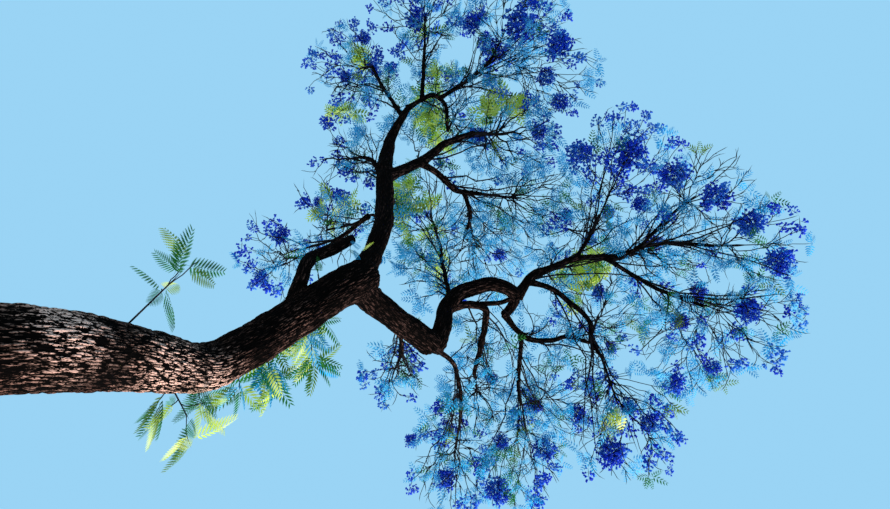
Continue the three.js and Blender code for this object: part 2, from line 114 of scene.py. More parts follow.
LIMBS = (
    LimbPlan("stub", "trunk", 0.835, (0.175, 0.16, 0.15, 0.145, 0.12), (
        (-0.64, 0.66, 7.02), (-0.76, 0.77, 7.2), (-0.87, 0.76, 7.5), (-1.03, 0.7, 7.8)), blunt=True),
    LimbPlan("left_bough", "trunk", 0.975, (0.25, 0.255, 0.255, 0.24, 0.16, 0.1), (
        (-1.17, 0.77, 8.35), (-1.75, 1.35, 8.95), (-2.16, 1.7, 9.3), (-2.69, 2.07, 9.8),
        (-3.22, 2.15, 10.2)), blunt=True),
    LimbPlan("left_low_bough", "left_bough", 0.5, (0.09, 0.06), (
        (-2.26, 2.12, 9.45), (-2.34, 2.53, 9.6))),
    LimbPlan("left_outer_bough", "left_bough", 0.95, (0.085, 0.06), (
        (-3.43, 2.61, 10.25), (-3.72, 2.98, 10.4), (-4.11, 3.38, 10.55))),
    LimbPlan("left_arch_bough", "left_bough", 1, (0.098, 0.085, 0.075, 0.062), (
        (-3.39, 2.12, 10.45), (-3.54, 2.08, 10.75), (-3.45, 2.03, 11), (-3.19, 2.12, 11.2),
        (-3.05, 2.2, 11.35))),
    LimbPlan("left_high_bough", "left_arch_bough", 0.24, (0.085, 0.062), (
        (-4, 2.45, 10.85), (-4.57, 2.72, 11.15))),
    LimbPlan("left_far_bough", "left_arch_bough", 0.52, (0.08, 0.064), (
        (-3.92, 1.82, 11.3), (-4.16, 1.65, 11.5), (-4.41, 1.57, 11.65))),
    LimbPlan("left_inner_bough", "left_bough", 0.56, (0.175, 0.15, 0.12, 0.09), (
        (-2.32, 1.47, 9.9), (-2.65, 1.47, 10.4), (-2.94, 1.38, 11))),
    LimbPlan("left_mid_bough", "left_inner_bough", 0.36, (0.125, 0.11, 0.1, 0.08), (
        (-2.13, 1.41, 10.25), (-1.95, 1.34, 10.6), (-1.95, 1.19, 11.1))),
    LimbPlan("centre_bough", "left_mid_bough", 0.74, (0.085, 0.064), (
        (-1.59, 1.46, 11.2), (-1.23, 1.84, 11.6))),
    LimbPlan("back_bough", "left_bough", 0.26, (0.05, 0.04), (
        (-1.38, 1.3, 8.7), (-1.26, 1.75, 8.85), (-1.14, 2.62, 9.1))),
    LimbPlan("back_low_bough", "back_bough", 0.36, (0.08, 0.06), (
        (-0.92, 2.19, 8.8), (-0.69, 2.9, 8.95))),
    LimbPlan("right_bough", "trunk", 0.955, (0.33, 0.31, 0.325, 0.33), (
        (-0.08, 0.34, 8.25), (0.2, 0.27, 8.8), (0.33, 0.245, 8.97)), blunt=True),
    LimbPlan("right_arch_bough", "right_bough", 0.97, (0.265, 0.245, 0.238, 0.228, 0.22, 0.212, 0.2, 0.175), (
        (0.09, 0.26, 9.12), (-0.16, 0.47, 9.45), (-0.35, 0.5, 9.7), (-0.48, 0.38, 9.95),
        (-0.55, 0.21, 10.15), (-0.5, 0.06, 10.35), (-0.39, -0.04, 10.5)), blunt=True),
    LimbPlan("right_curl_bough", "right_arch_bough", 0.97, (0.17, 0.15, 0.13), (
        (-0.23, 0.09, 10.54), (-0.08, 0.22, 10.5)), blunt=True),
    LimbPlan("right_strand_bough", "right_arch_bough", 0.36, (0.135, 0.125, 0.115, 0.105, 0.095, 0.07), (
        (-0.24, 0.35, 9.85), (-0.18, 0.23, 10.05), (0.13, 0.35, 10.25), (0.46, 0.53, 10.45),
        (0.9, 0.81, 10.75))),
    LimbPlan("right_top_bough", "right_arch_bough", 0.985, (0.15, 0.12, 0.105, 0.09, 0.08), (
        (-0.74, -0.09, 10.8), (-0.82, -0.2, 11), (-1.01, -0.42, 11.38), (-1.08, -0.69, 11.7),
        (-1.04, -0.86, 11.85))),
    LimbPlan("right_out_bough", "right_top_bough", 0.16, (0.1, 0.085, 0.062), (
        (-0.55, -0.29, 10.95), (-0.32, -0.58, 11.2), (-0.1, -0.77, 11.35), (0.17, -0.78, 11.45),
        (0.44, -0.89, 11.65))),
    LimbPlan("top_rim_bough", "right_top_bough", 0.88, (0.085, 0.058), (
        (-1.15, -0.96, 11.9), (-1.27, -1.19, 12), (-1.38, -1.64, 12.1), (-1.37, -2.23, 12.1))),
    LimbPlan("top_outer_bough", "top_rim_bough", 0.36, (0.066, 0.056), (
        (-1.64, -1.4, 12.2), (-1.94, -1.65, 12.3))),
    LimbPlan("top_side_bough", "right_top_bough", 0.93, (0.08, 0.06), (
        (-0.86, -1.12, 11.95), (-0.66, -1.54, 12.05), (-0.49, -2.21, 12.05))),
    LimbPlan("top_left_bough", "right_top_bough", 0.66, (0.08, 0.062), (
        (-1.4, -0.44, 11.8), (-1.77, -0.44, 12.1))),
    LimbPlan("right_low_bough", "right_curl_bough", 0.9, (0.105, 0.09, 0.066), (
        (0.22, -0.01, 10.85), (0.24, -0.22, 11.2), (0.19, -0.33, 11.5), (0.28, -0.5, 12))),
    LimbPlan("near_low_bough", "right_low_bough", 0.24, (0.08, 0.062), (
        (0.6, 0.18, 11.05), (0.94, 0.28, 11.2), (1.38, 0.33, 11.45))),
    LimbPlan("knee_bough", "right_bough", 0.96, (0.08, 0.056), (
        (0.53, 0.25, 9.4), (0.83, 0.38, 9.75), (1.18, 0.55, 10.1), (1.64, 0.82, 10.5))),
    LimbPlan("riser_bough", "right_arch_bough", 0.32, (0.08, 0.058), (
        (-0.44, 0.77, 9.85), (-0.8, 1.27, 10.3), (-1.08, 1.57, 10.6))),
    LimbPlan("right_link_bough", "right_strand_bough", 0.2, (0.09, 0.08, 0.08), (
        (-0.3, 0.11, 10.3), (-0.38, 0.02, 10.44))),
    LimbPlan("under_bough", "right_bough", 0.5, (0.07, 0.052), (
        (0.41, 0.73, 8.9), (0.6, 0.99, 9.15))),
)

MASSES = (
    MassPlan("left_outer_foliage", "left_outer_bough", (-4.18, 4.19, 10.8), 1.06, 1.15, 0.05, full=0.85),
    MassPlan("left_high_foliage", "left_high_bough", (-5.5, 3.19, 11.6), 1.23, 0.5, 0.12),
    MassPlan("left_far_foliage_a", "left_far_bough", (-5.23, 1.63, 12.2), 1.17, 0.85, 0.2),
    MassPlan("left_far_foliage_b", "left_far_bough", (-4.01, 0.68, 12), 1.05, 0.1, 0.1),
    MassPlan("left_low_foliage", "left_low_bough", (-2.37, 3.36, 10), 0.86, 1.45, 0, full=0.34),
    MassPlan("left_arch_foliage", "left_arch_bough", (-3.77, 2.44, 12), 1.08, 0.1, 0.25),
    MassPlan("left_inner_foliage", "left_inner_bough", (-3.06, 1.11, 11.9), 1.06, 0.45, 0.22),
    MassPlan("left_mid_foliage", "left_mid_bough", (-1.99, 0.96, 12.3), 1.04, 0.2, 0.14),
    MassPlan("riser_foliage", "riser_bough", (-1.7, 2.38, 11.2), 1, 0.2, 0.14, full=0.85),
    MassPlan("centre_foliage", "centre_bough", (-1.03, 2.2, 12.7), 1.18, 0.1, 0.19, full=0.9),
    MassPlan("back_foliage", "back_bough", (-1.57, 3.17, 9.6), 0.85, 1.05, 0, full=0.42),
    MassPlan("back_low_foliage", "back_low_bough", (-0.62, 4, 9.3), 0.85, 1.8, 0, full=0.4),
    MassPlan("top_left_foliage_a", "top_left_bough", (-2.68, -0.51, 12.6), 1.02, 1.15, 0.05, full=0.66),
    MassPlan("top_left_foliage_b", "top_left_bough", (-1.7, 0.52, 13.1), 1.06, 0, 0, full=0.6),
    MassPlan("right_top_foliage", "right_top_bough", (-1.37, -1.21, 12.95), 1, 0, 0, full=0.68),
    MassPlan("top_outer_foliage", "top_outer_bough", (-2.18, -1.96, 12.3), 0.93, 0.1, 0.12),
    MassPlan("top_rim_foliage", "top_rim_bough", (-1.4, -2.82, 12), 0.82, 0.1, 0.05),
    MassPlan("top_side_foliage_a", "top_side_bough", (-0.37, -2.85, 11.95), 0.84, 0.1, 0.06),
    MassPlan("top_side_foliage_b", "top_side_bough", (0.13, -1.95, 12.45), 0.95, 0.15, 0.15),
    MassPlan("right_low_foliage", "right_low_bough", (-0.28, -0.21, 12.95), 1.08, 0.1, 0.2, full=0.88),
    MassPlan("right_out_foliage", "right_out_bough", (1.46, -1.25, 11.9), 1.02, 0.5, 0.15),
    MassPlan("near_low_foliage_a", "near_low_bough", (1.22, 0.07, 12.5), 1.04, 0.2, 0.03, full=0.85),
    MassPlan("near_low_foliage_b", "near_low_bough", (2.4, 0.64, 11.9), 1.04, 0.5, 0.17),
    MassPlan("knee_foliage", "knee_bough", (2.51, 1.33, 11.1), 0.93, 0.7, 0.1),
    MassPlan("strand_foliage", "right_strand_bough", (1.51, 1.32, 11.7), 0.96, 0, 0.05),
    MassPlan("under_foliage", "under_bough", (0.94, 1.56, 9.7), 0.64, 0.6, 0.05, full=0.55),
    MassPlan("fork_shoot", "trunk", (0.48, 1.4, 7.9), 0.62, 0, 1, at=0.88),
    MassPlan("left_shoot", "trunk", (-0.6, -0.03, 5.06), 0.52, 0, 1, at=0.555, full=0.5),
    MassPlan("right_shoot", "trunk", (0.76, 0.15, 5.36), 0.5, 0, 1, at=0.64, full=0.75),
    MassPlan("high_shoot", "trunk", (0.58, 0.64, 6.57), 0.4, 0, 1, at=0.77),
)


def unit(vectors: Array) -> Array:
    """Vectors, one or a row of them, at length one."""
    return vectors / np.maximum(np.linalg.norm(vectors, axis=-1, keepdims=True), TINY)


def rows(*parts: Array | float) -> Array:
    """Columns of numbers side by side, with a single number repeated."""
    return np.stack(np.broadcast_arrays(*parts), axis=-1)


def around(turns: Array, firsts: Array, seconds: Array) -> Array:
    """Unit directions at so many radians round a line, from its two cross directions."""
    return np.cos(turns)[:, None] * firsts + np.sin(turns)[:, None] * seconds


def chance(seed: int, number: int | Array) -> float | Array:
    """A repeatable share from 0 to 1 for a numbered thing of a seeded mass, as in the solid model."""
    return (0.5 + seed * SEED_STEP + (number + 1) * NUMBER_STEP) % 1


class Spline:
    """A smooth centripetal curve through places, as in the solid model, read by share of its length."""

    STEPS = 200
    TANGENT_STEP = 1e-4
    SHORTEST_SPAN = 1e-4

    def __init__(self, places: Array) -> None:
        """Measures the curve.

        Args:
            places: The places it passes, one row each, in metres.
        """
        ends = 2 * places[[0, -1]] - places[[1, -2]]
        self.points = np.vstack([ends[:1], places, ends[1:]])
        self.spans = len(places) - 1
        self.shares = np.linspace(0, 1, self.STEPS + 1)
        steps = np.linalg.norm(np.diff(self.at_parameter(self.shares), axis=0), axis=1)
        self.reached = np.concatenate([[0], np.cumsum(steps)])
        self.length = float(self.reached[-1])

    def at_parameter(self, parameters: Array) -> Array:
        """Places at the curve's own parameters from 0 to 1."""
        along = np.clip(parameters, 0, 1) * self.spans
        span = np.minimum(along.astype(int), self.spans - 1)
        part = (along - span)[:, None]
        a, b, c, d = (self.points[span + k] for k in range(4))
        ab, bc, cd = (
            np.maximum(np.sqrt(np.linalg.norm(q - p, axis=1)), self.SHORTEST_SPAN)[:, None]
            for p, q in ((a, b), (b, c), (c, d))
        )
        leave = ((b - a) / ab - (c - a) / (ab + bc) + (c - b) / bc) * bc
        arrive = ((c - b) / bc - (d - b) / (bc + cd) + (d - c) / cd) * bc
        cubic = 2 * b - 2 * c + leave + arrive
        square = -3 * b + 3 * c - 2 * leave - arrive
        return b + part * (leave + part * (square + part * cubic))

    def parameter(self, shares: Array) -> Array:
        """The curve's own parameters at shares of its length."""
        return np.interp(np.asarray(shares) * self.length, self.reached, self.shares)

    def at(self, shares: Array) -> Array:
        """Places at shares of the length."""
        return self.at_parameter(self.parameter(np.atleast_1d(shares)))

    def heading(self, shares: Array) -> Array:
        """Unit directions at shares of the length."""
        middle = self.parameter(np.atleast_1d(shares))
        ahead = self.at_parameter(middle + self.TANGENT_STEP)
        return unit(ahead - self.at_parameter(middle - self.TANGENT_STEP))


@dataclass(frozen=True)
class LimbShape:
    """What every limb shares: its collar, flare, swell at a fork, crooks, tip, and how slim a thin one is."""

    collar_share: float = 0.12
    collar_width: float = 0.28
    flare_height: float = 1.1
    flare_width: float = 0.7
    flare_ribs: int = 5
    flare_rib_depth: float = 0.16
    swell: float = 0.42
    swell_at: float = 0.1
    swell_height: float = 0.25
    beside: float = 0.1
    blend_step: float = 0.12
    blend_parts: int = 24
    slim_below: float = 0.14
    slim: float = 0.88
    crook: float = 0.5
    crook_most: float = 0.024
    crook_length: float = 0.28
    steep: float = 0.9
    heading_step: float = 0.01
    blunt_tip: float = 0.9
    slim_tip: float = 0.5


SHAPE = LimbShape()


@dataclass(eq=False)
class Limb:
    """A limb of the solid model, rebuilt from its plan, and the limb that it grows from."""

    plan: LimbPlan
    parent: "Limb | None"

    def __post_init__(self) -> None:
        """Lays the limb's curve."""
        places = np.array(self.plan.through, float)
        if self.parent is not None:
            places = np.vstack([self.parent.curve.at(self.plan.at), places])
        self.curve = Spline(places)
        self.length = self.curve.length

    def radius_at(self, share: float) -> float:
        """The radius at one share of the length."""
        return float(self.radius(np.array([share]))[0])

    def radius(self, shares: Array) -> Array:
        """The radius at shares of the length, with a collar at the foot of a limb that grows from another."""
        girths = np.array(self.plan.girth)
        spread = np.linspace(0, 1, len(girths))
        plain = np.interp(self.curve.parameter(shares), spread, girths) / 2
        if girths[0] < SHAPE.slim_below:
            plain = plain * SHAPE.slim
        if self.parent is None:
            return plain
        return plain * (1 + SHAPE.collar_width * np.maximum(0, 1 - np.asarray(shares) / SHAPE.collar_share))

    def crooked(self, shares: Array) -> Array:
        """Places on the limb's centre line with its small crooks, which fade at both ends."""
        shares = np.clip(shares, 0, 1)
        centres = self.curve.at(shares)
        if self.parent is None:
            return centres
        size = np.minimum(SHAPE.crook * self.radius(shares), SHAPE.crook_most) * np.sin(math.pi * shares)
        stray = [noise.noise_vector(Vector(centre / SHAPE.crook_length)) for centre in centres]
        return centres + size[:, None] * np.array(stray)

    def frames(self, shares: Array) -> tuple[Array, Array, Array]:
        """The centre, first and second cross direction of a ring at each share."""
        step = SHAPE.heading_step / self.length
        centres = self.crooked(shares)
        headings = unit(self.crooked(shares + step) - self.crooked(shares - step))
        normal = np.array([1.0, 0, 0]) if abs(self.curve.heading(0)[0][2]) > SHAPE.steep else UP
        firsts = []
        for heading in headings:
            normal = unit(normal - heading * (normal @ heading))
            firsts.append(normal)
        firsts = np.array(firsts)
        return centres, firsts, np.cross(headings, firsts)

    def capsules(self, step: float = 0.25) -> Capsules:
        """The starts, ends and radii of short straight pieces of the limb."""
        shares = np.linspace(0, 1, max(2, round(self.length / step)) + 1)
        places, radii = self.curve.at(shares), self.radius(shares)
        return places[:-1], places[1:], np.maximum(radii[:-1], radii[1:])


def gap_to_lines(places: Array, starts: Array, ends: Array, radii: Array) -> Array:
    """How far each place is outside the nearest of some capsules.

    Args:
        places: The places, one row each.
        starts: The capsules' starts.
        ends: The capsules' ends.
        radii: The capsules' radii.

    Returns:
        One distance for each place, negative inside.
    """
    way = ends - starts
    out = places[:, None] - starts[None]
    share = np.clip((out * way).sum(-1) / np.maximum((way * way).sum(-1), TINY), 0, 1)
    return (np.linalg.norm(out - share[..., None] * way, axis=-1) - radii).min(1)


@dataclass(frozen=True)
class BarkRelief:
    """The ridged plates of the bark: their size round and along a limb, and how deep the furrows are."""

    plate_width: float = 0.02
    plate_length: float = 0.15
    furrow: float = 0.45
    depth: float = 0.017
    depth_share: float = 0.075
    sunk: float = 0.7
    plate_rise: Span = (0.75, 0.25)
    plate_scale: float = 3.7
    waver: float = 0.6
    waver_scale: float = 0.5
    lump_size: float = 0.24
    lump_share: float = 0.065
    grain: float = 0.0016
    grain_scale: float = 3.1
    grain_radius: float = 0.15
    worn_plate: Span = (0.55, 0.45)
    worn_grain: Span = (0.8, 0.4)
    shift: Place = (7.3, 3.1, 5.7)

    def heights(self, grown: Array, radii: Array, seed: float) -> tuple[Array, Array]:
        """The bark's height over the plain limb, and how far up its ridge each place is.

        Args:
            grown: Places on the straightened limb: two across it and one along it, in metres.
            radii: The limb's radius at each place.
            seed: A number that no other limb has.

        Returns:
            The heights in metres, and the shares from 0 in a furrow to 1 on a ridge.
        """
        heights, ridges = np.empty(len(grown)), np.empty(len(grown))
        shift = Vector([seed * part for part in self.shift])
        (rise, rise_span), (worn, worn_span) = self.plate_rise, self.worn_plate
        least, least_span = self.worn_grain
        for i, ((x, y, along), radius) in enumerate(zip(grown.tolist(), radii.tolist())):
            spot = Vector((x / self.plate_width, y / self.plate_width, along / self.plate_length)) + shift
            spot += self.waver * Vector(noise.noise_vector(spot * self.waver_scale))
            away, nearest = noise.voronoi(spot)
            ridge = min(1.0, (away[1] - away[0]) / self.furrow)
            plate = noise.cell(nearest[0] * self.plate_scale)
            lump = self.lump_share * radius * noise.noise(Vector((x, y, along)) / self.lump_size + shift)
            fine = noise.noise(spot * self.grain_scale)
            depth = min(self.depth, self.depth_share * radius)
            heights[i] = depth * (ridge * (rise + rise_span * plate) - self.sunk) + lump
            heights[i] += self.grain * fine * min(1.0, radius / self.grain_radius)
            ridges[i] = ridge * (worn + worn_span * abs(plate)) * (least + least_span * fine)
        return heights, np.clip(ridges, 0, 1)


def mesh_from(bm: bmesh.types.BMesh, name: str) -> bpy.types.Mesh:
    """A new mesh of a bmesh, which is freed."""
    mesh = bpy.data.meshes.new(name)
    bm.to_mesh(mesh)
    bm.free()
    return mesh


def linked(name: str, data: bpy.types.ID) -> bpy.types.Object:
    """A new object of some data, in the scene."""
    made = bpy.data.objects.new(name, data)
    bpy.context.scene.collection.objects.link(made)
    return made


def finished(piece: bpy.types.Object, nodes: Sequence[str]) -> None:
    """Lets a piece ride on the tree's one body, and stand for its nodes.

    Args:
        piece: The new object, in place.
        nodes: The solid nodes that it takes the place of.
    """
    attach(piece, "root")
    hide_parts(*nodes)
    LOG.info("%s: %d faces for %d nodes", piece.name, len(piece.data.polygons), len(nodes))


@dataclass(frozen=True)
class BarkPiece:
    """One object of bark: its name, its limbs, and its grid's steps round and along them, in metres."""

    name: str
    limbs: tuple[str, ...]
    step_around: float
    step_along: float


BOUGHS = ("stub", "left_bough", "right_bough", "right_arch_bough", "right_curl_bough")
BARK_PIECES = (
    BarkPiece("trunk_bark", ("trunk",), 0.0076, 0.029),
    BarkPiece("bough_bark", BOUGHS, 0.0072, 0.022),
    BarkPiece("limb_bark", tuple(plan.name for plan in LIMBS if plan.name not in BOUGHS), 0.0085, 0.02),
)


@dataclass(eq=False)
class Wood:
    """The trunk and the boughs, with the relief of their bark."""

    finish: "BarkFinish"
    relief: BarkRelief
    steps_around: tuple[int, int] = (14, 320)
    fewest_along: int = 12
    relief_fade: int = 3
    weld: float = 1e-5
    cut: float = -0.03
    near_ground: tuple[float, int] = (0.2, 201)

    def __post_init__(self) -> None:
        """Rebuilds the limbs of the solid model."""
        self.material = self.finish.material()
        self.limbs: dict[str, Limb] = {}
        for plan in (TRUNK, *LIMBS):
            self.limbs[plan.name] = Limb(plan, self.limbs.get(plan.on))

    def neighbours(self, limb: Limb) -> list[Limb]:
        """The limbs that a limb meets: the one it grows from, those beside it there, and its own."""
        found = []
        for other in self.limbs.values():
            carries = other is limb.parent or other.parent is limb
            twin = other is not limb and other.parent is limb.parent is not None
            if carries or twin and abs(other.plan.at - limb.plan.at) < SHAPE.beside:
                found.append(other)
        return found

    def swelling(self, limb: Limb, places: Array, radii: Array) -> Array:
        """How far a limb's surface stands out where it runs into another limb, so that the two blend.

        Args:
            limb: The limb.
            places: Places on its plain surface.
            radii: Its radius at each place.

        Returns:
            A height in metres for each place.
        """
        swell = np.zeros(len(places))
        for other in self.neighbours(limb):
            starts, ends, widths = other.capsules(SHAPE.blend_step)
            size = SHAPE.swell * min(other.radius_at(SHAPE.swell_at), radii.mean())
            near = np.flatnonzero(np.linalg.norm(places - starts.mean(0), axis=1) < other.length)
            if len(near) == 0:
                continue
            parts = np.array_split(places[near], SHAPE.blend_parts)
            gap = np.concatenate([gap_to_lines(part, starts, ends, widths) for part in parts])
            blend = np.maximum(0, 1 - np.abs(gap) / size)
            swell[near] = np.maximum(swell[near], SHAPE.swell_height * blend * blend * size)
        return swell

    def surface(self, bm: bmesh.types.BMesh, limb: Limb, piece: BarkPiece, seed: int) -> None:
        """Adds one limb's bark to a bmesh: a grid that is rolled up round the limb's curve.

        Args:
            bm: The mesh to add to.
            limb: The limb.
            piece: What the mesh is for, with the steps of its grids.
            seed: A number that no other limb has.
        """
        girth = max(limb.plan.girth)
        across = int(np.clip(round(math.pi * girth / piece.step_around), *self.steps_around))
        along = max(self.fewest_along, round(limb.length / piece.step_along))
        ridge_layer = bm.verts.layers.float.get("ridge") or bm.verts.layers.float.new("ridge")
        grown_layer = bm.verts.layers.float_vector.get("grown") or bm.verts.layers.float_vector.new("grown")
        corners = bmesh.ops.create_grid(bm, x_segments=across, y_segments=along, size=0.5)["verts"]
        flat = np.array([v.co for v in corners]) + 0.5
        ring = np.rint(flat[:, 1] * along).astype(int)
        turn = 2 * math.pi * (np.rint(flat[:, 0] * across) % across) / across
        shares, widths = self.rings(limb, along)
        centres, firsts, seconds = limb.frames(shares)
        plain = limb.radius(shares)[ring] * (1 if limb.parent else self.flare(centres[ring, 2], turn))
        out = around(turn, firsts[ring], seconds[ring])
        radii = plain * widths[ring]
        places = centres[ring] + radii[:, None] * out
        grown = rows(radii * np.cos(turn), radii * np.sin(turn), shares[ring] * limb.length)
        heights, ridges = self.relief.heights(grown, plain, seed)
        heights = heights * np.minimum(1, widths[ring] * self.relief_fade)
        heights = heights + self.swelling(limb, places, plain) * widths[ring]
        places += heights[:, None] * out
        if limb.parent is None:
            places[:, 2] = np.maximum(places[:, 2], 0)
        for corner, place, ridge, spot in zip(corners, places, ridges, grown):
            corner.co = place
            corner[ridge_layer] = ridge
            corner[grown_layer] = spot
        edge = (turn == 0) | (ring == 0) | (ring == along)
        seam = [corner for corner, on_edge in zip(corners, edge) if on_edge]
        bmesh.ops.remove_doubles(bm, verts=seam, dist=self.weld)

    def rings(self, limb: Limb, along: int) -> tuple[Array, Array]:
        """The share and the width of each ring: closed at the foot, and rounded off at the tip.

        Args:
            limb: The limb.
            along: How many steps the grid has along it.

        Returns:
            The rings' shares of the length, and their widths as shares of the limb's own.
        """
        start = 0.0
        if limb.parent is None:
            near = np.linspace(0, *self.near_ground)
            start = float(np.interp(self.cut, limb.curve.at(near)[:, 2], near))
        shares = np.concatenate([[start], np.linspace(start, 1, along)])
        tip = limb.radius_at(1) * (SHAPE.blunt_tip if limb.plan.blunt else SHAPE.slim_tip) / limb.length
        left = np.clip((1 - shares) / tip, 0, 1)
        widths = np.sqrt(np.maximum(0, 1 - (1 - left) ** 2))
        widths[0] = 0
        return shares, widths

    @staticmethod
    def flare(heights: Array, turns: Array) -> Array:
        """How much wider the trunk is near the ground, where it spreads into its ribs."""
        rise = np.maximum(0, 1 - np.maximum(heights, 0) / SHAPE.flare_height) ** 2
        return 1 + rise * (SHAPE.flare_width + SHAPE.flare_rib_depth * np.cos(SHAPE.flare_ribs * turns))

    def build(self) -> None:
        """Makes the trunk and the boughs, each piece one object of some limbs."""
        order = list(self.limbs)
        for piece in BARK_PIECES:
            bm = bmesh.new()
            for name in piece.limbs:
                self.surface(bm, self.limbs[name], piece, order.index(name))
            bmesh.ops.recalc_face_normals(bm, faces=bm.faces)
            mesh = mesh_from(bm, piece.name)
            mesh.shade_smooth()
            mesh.materials.append(self.material)
            finished(linked(piece.name, mesh), piece.limbs)


@dataclass
class Twig:
    """A twig: its bent line, the way from the stem's foot to it, the older twig it leaves, and its ends."""

    line: Array
    path: float
    older: int
    ends: int = 0
    thick: float = 0.0
    thin: float = 0.0


@dataclass(frozen=True)
class GrowthRule:
    """How a mass branches, with the solid model's values, and the finer rounds of twigs that follow them."""

    flatten: float = 0.78
    twig_step: float = 0.24
    fewest: int = 3
    coarse_reach: float = 0.5
    draw_in: tuple[float, ...] = (1, 0.75, 0.5, 0.25)
    path_cost: float = 0.4
    fine_path_cost: float = 0.7
    lag: float = 0.55
    first_joint: float = 0.3
    last_joint: float = 0.8
    seed_turn: float = 1.7
    space_margin: float = 0.012
    clear: float = 0.03
    stem_reach: float = 0.8
    rounds: tuple[tuple[int, float], ...] = ((17, 0.5), (42, 0.72), (84, 0.9))
    farthest: float = 0.95
    uneven: Span = (0.8, 0.25)
    uneven_seed: int = 5
    tries: int = 6
    probes: int = 4
    near: float = 2.0
    apart: float = 0.5
    knots: int = 6
    bend: float = 0.5
    follow: float = 0.7
    sag: float = 0.08
    waver: float = 0.1
    waver_scale: float = 5.0
    waver_turn: float = 0.37
    twig_radius: float = 0.0052
    taper: float = 0.55
    stout: float = 0.014
    sides: int = 3
    stout_sides: int = 6
    thinning: float = 0.45
    shoot_stem: float = 0.5
    shoot_foot: float = 0.024
    stem_shares: Span = (0.85, 0.42)

    def uneven_share(self, seed: int, number: int) -> float:
        """How far out of its round a fine twig ends, so that the crown is ragged."""
        least, span = self.uneven
        return least + span * chance(seed + self.uneven_seed, number)


LOBES = (
    ("left", ("left_outer", "left_high", "left_far")),
    ("middle", ("left_low", "left_arch", "left_inner", "left_mid", "riser", "centre", "back")),
    ("top", ("top", "right_top", "right_low")),
    ("right", ("right_out", "near", "knee", "strand", "under")),
)


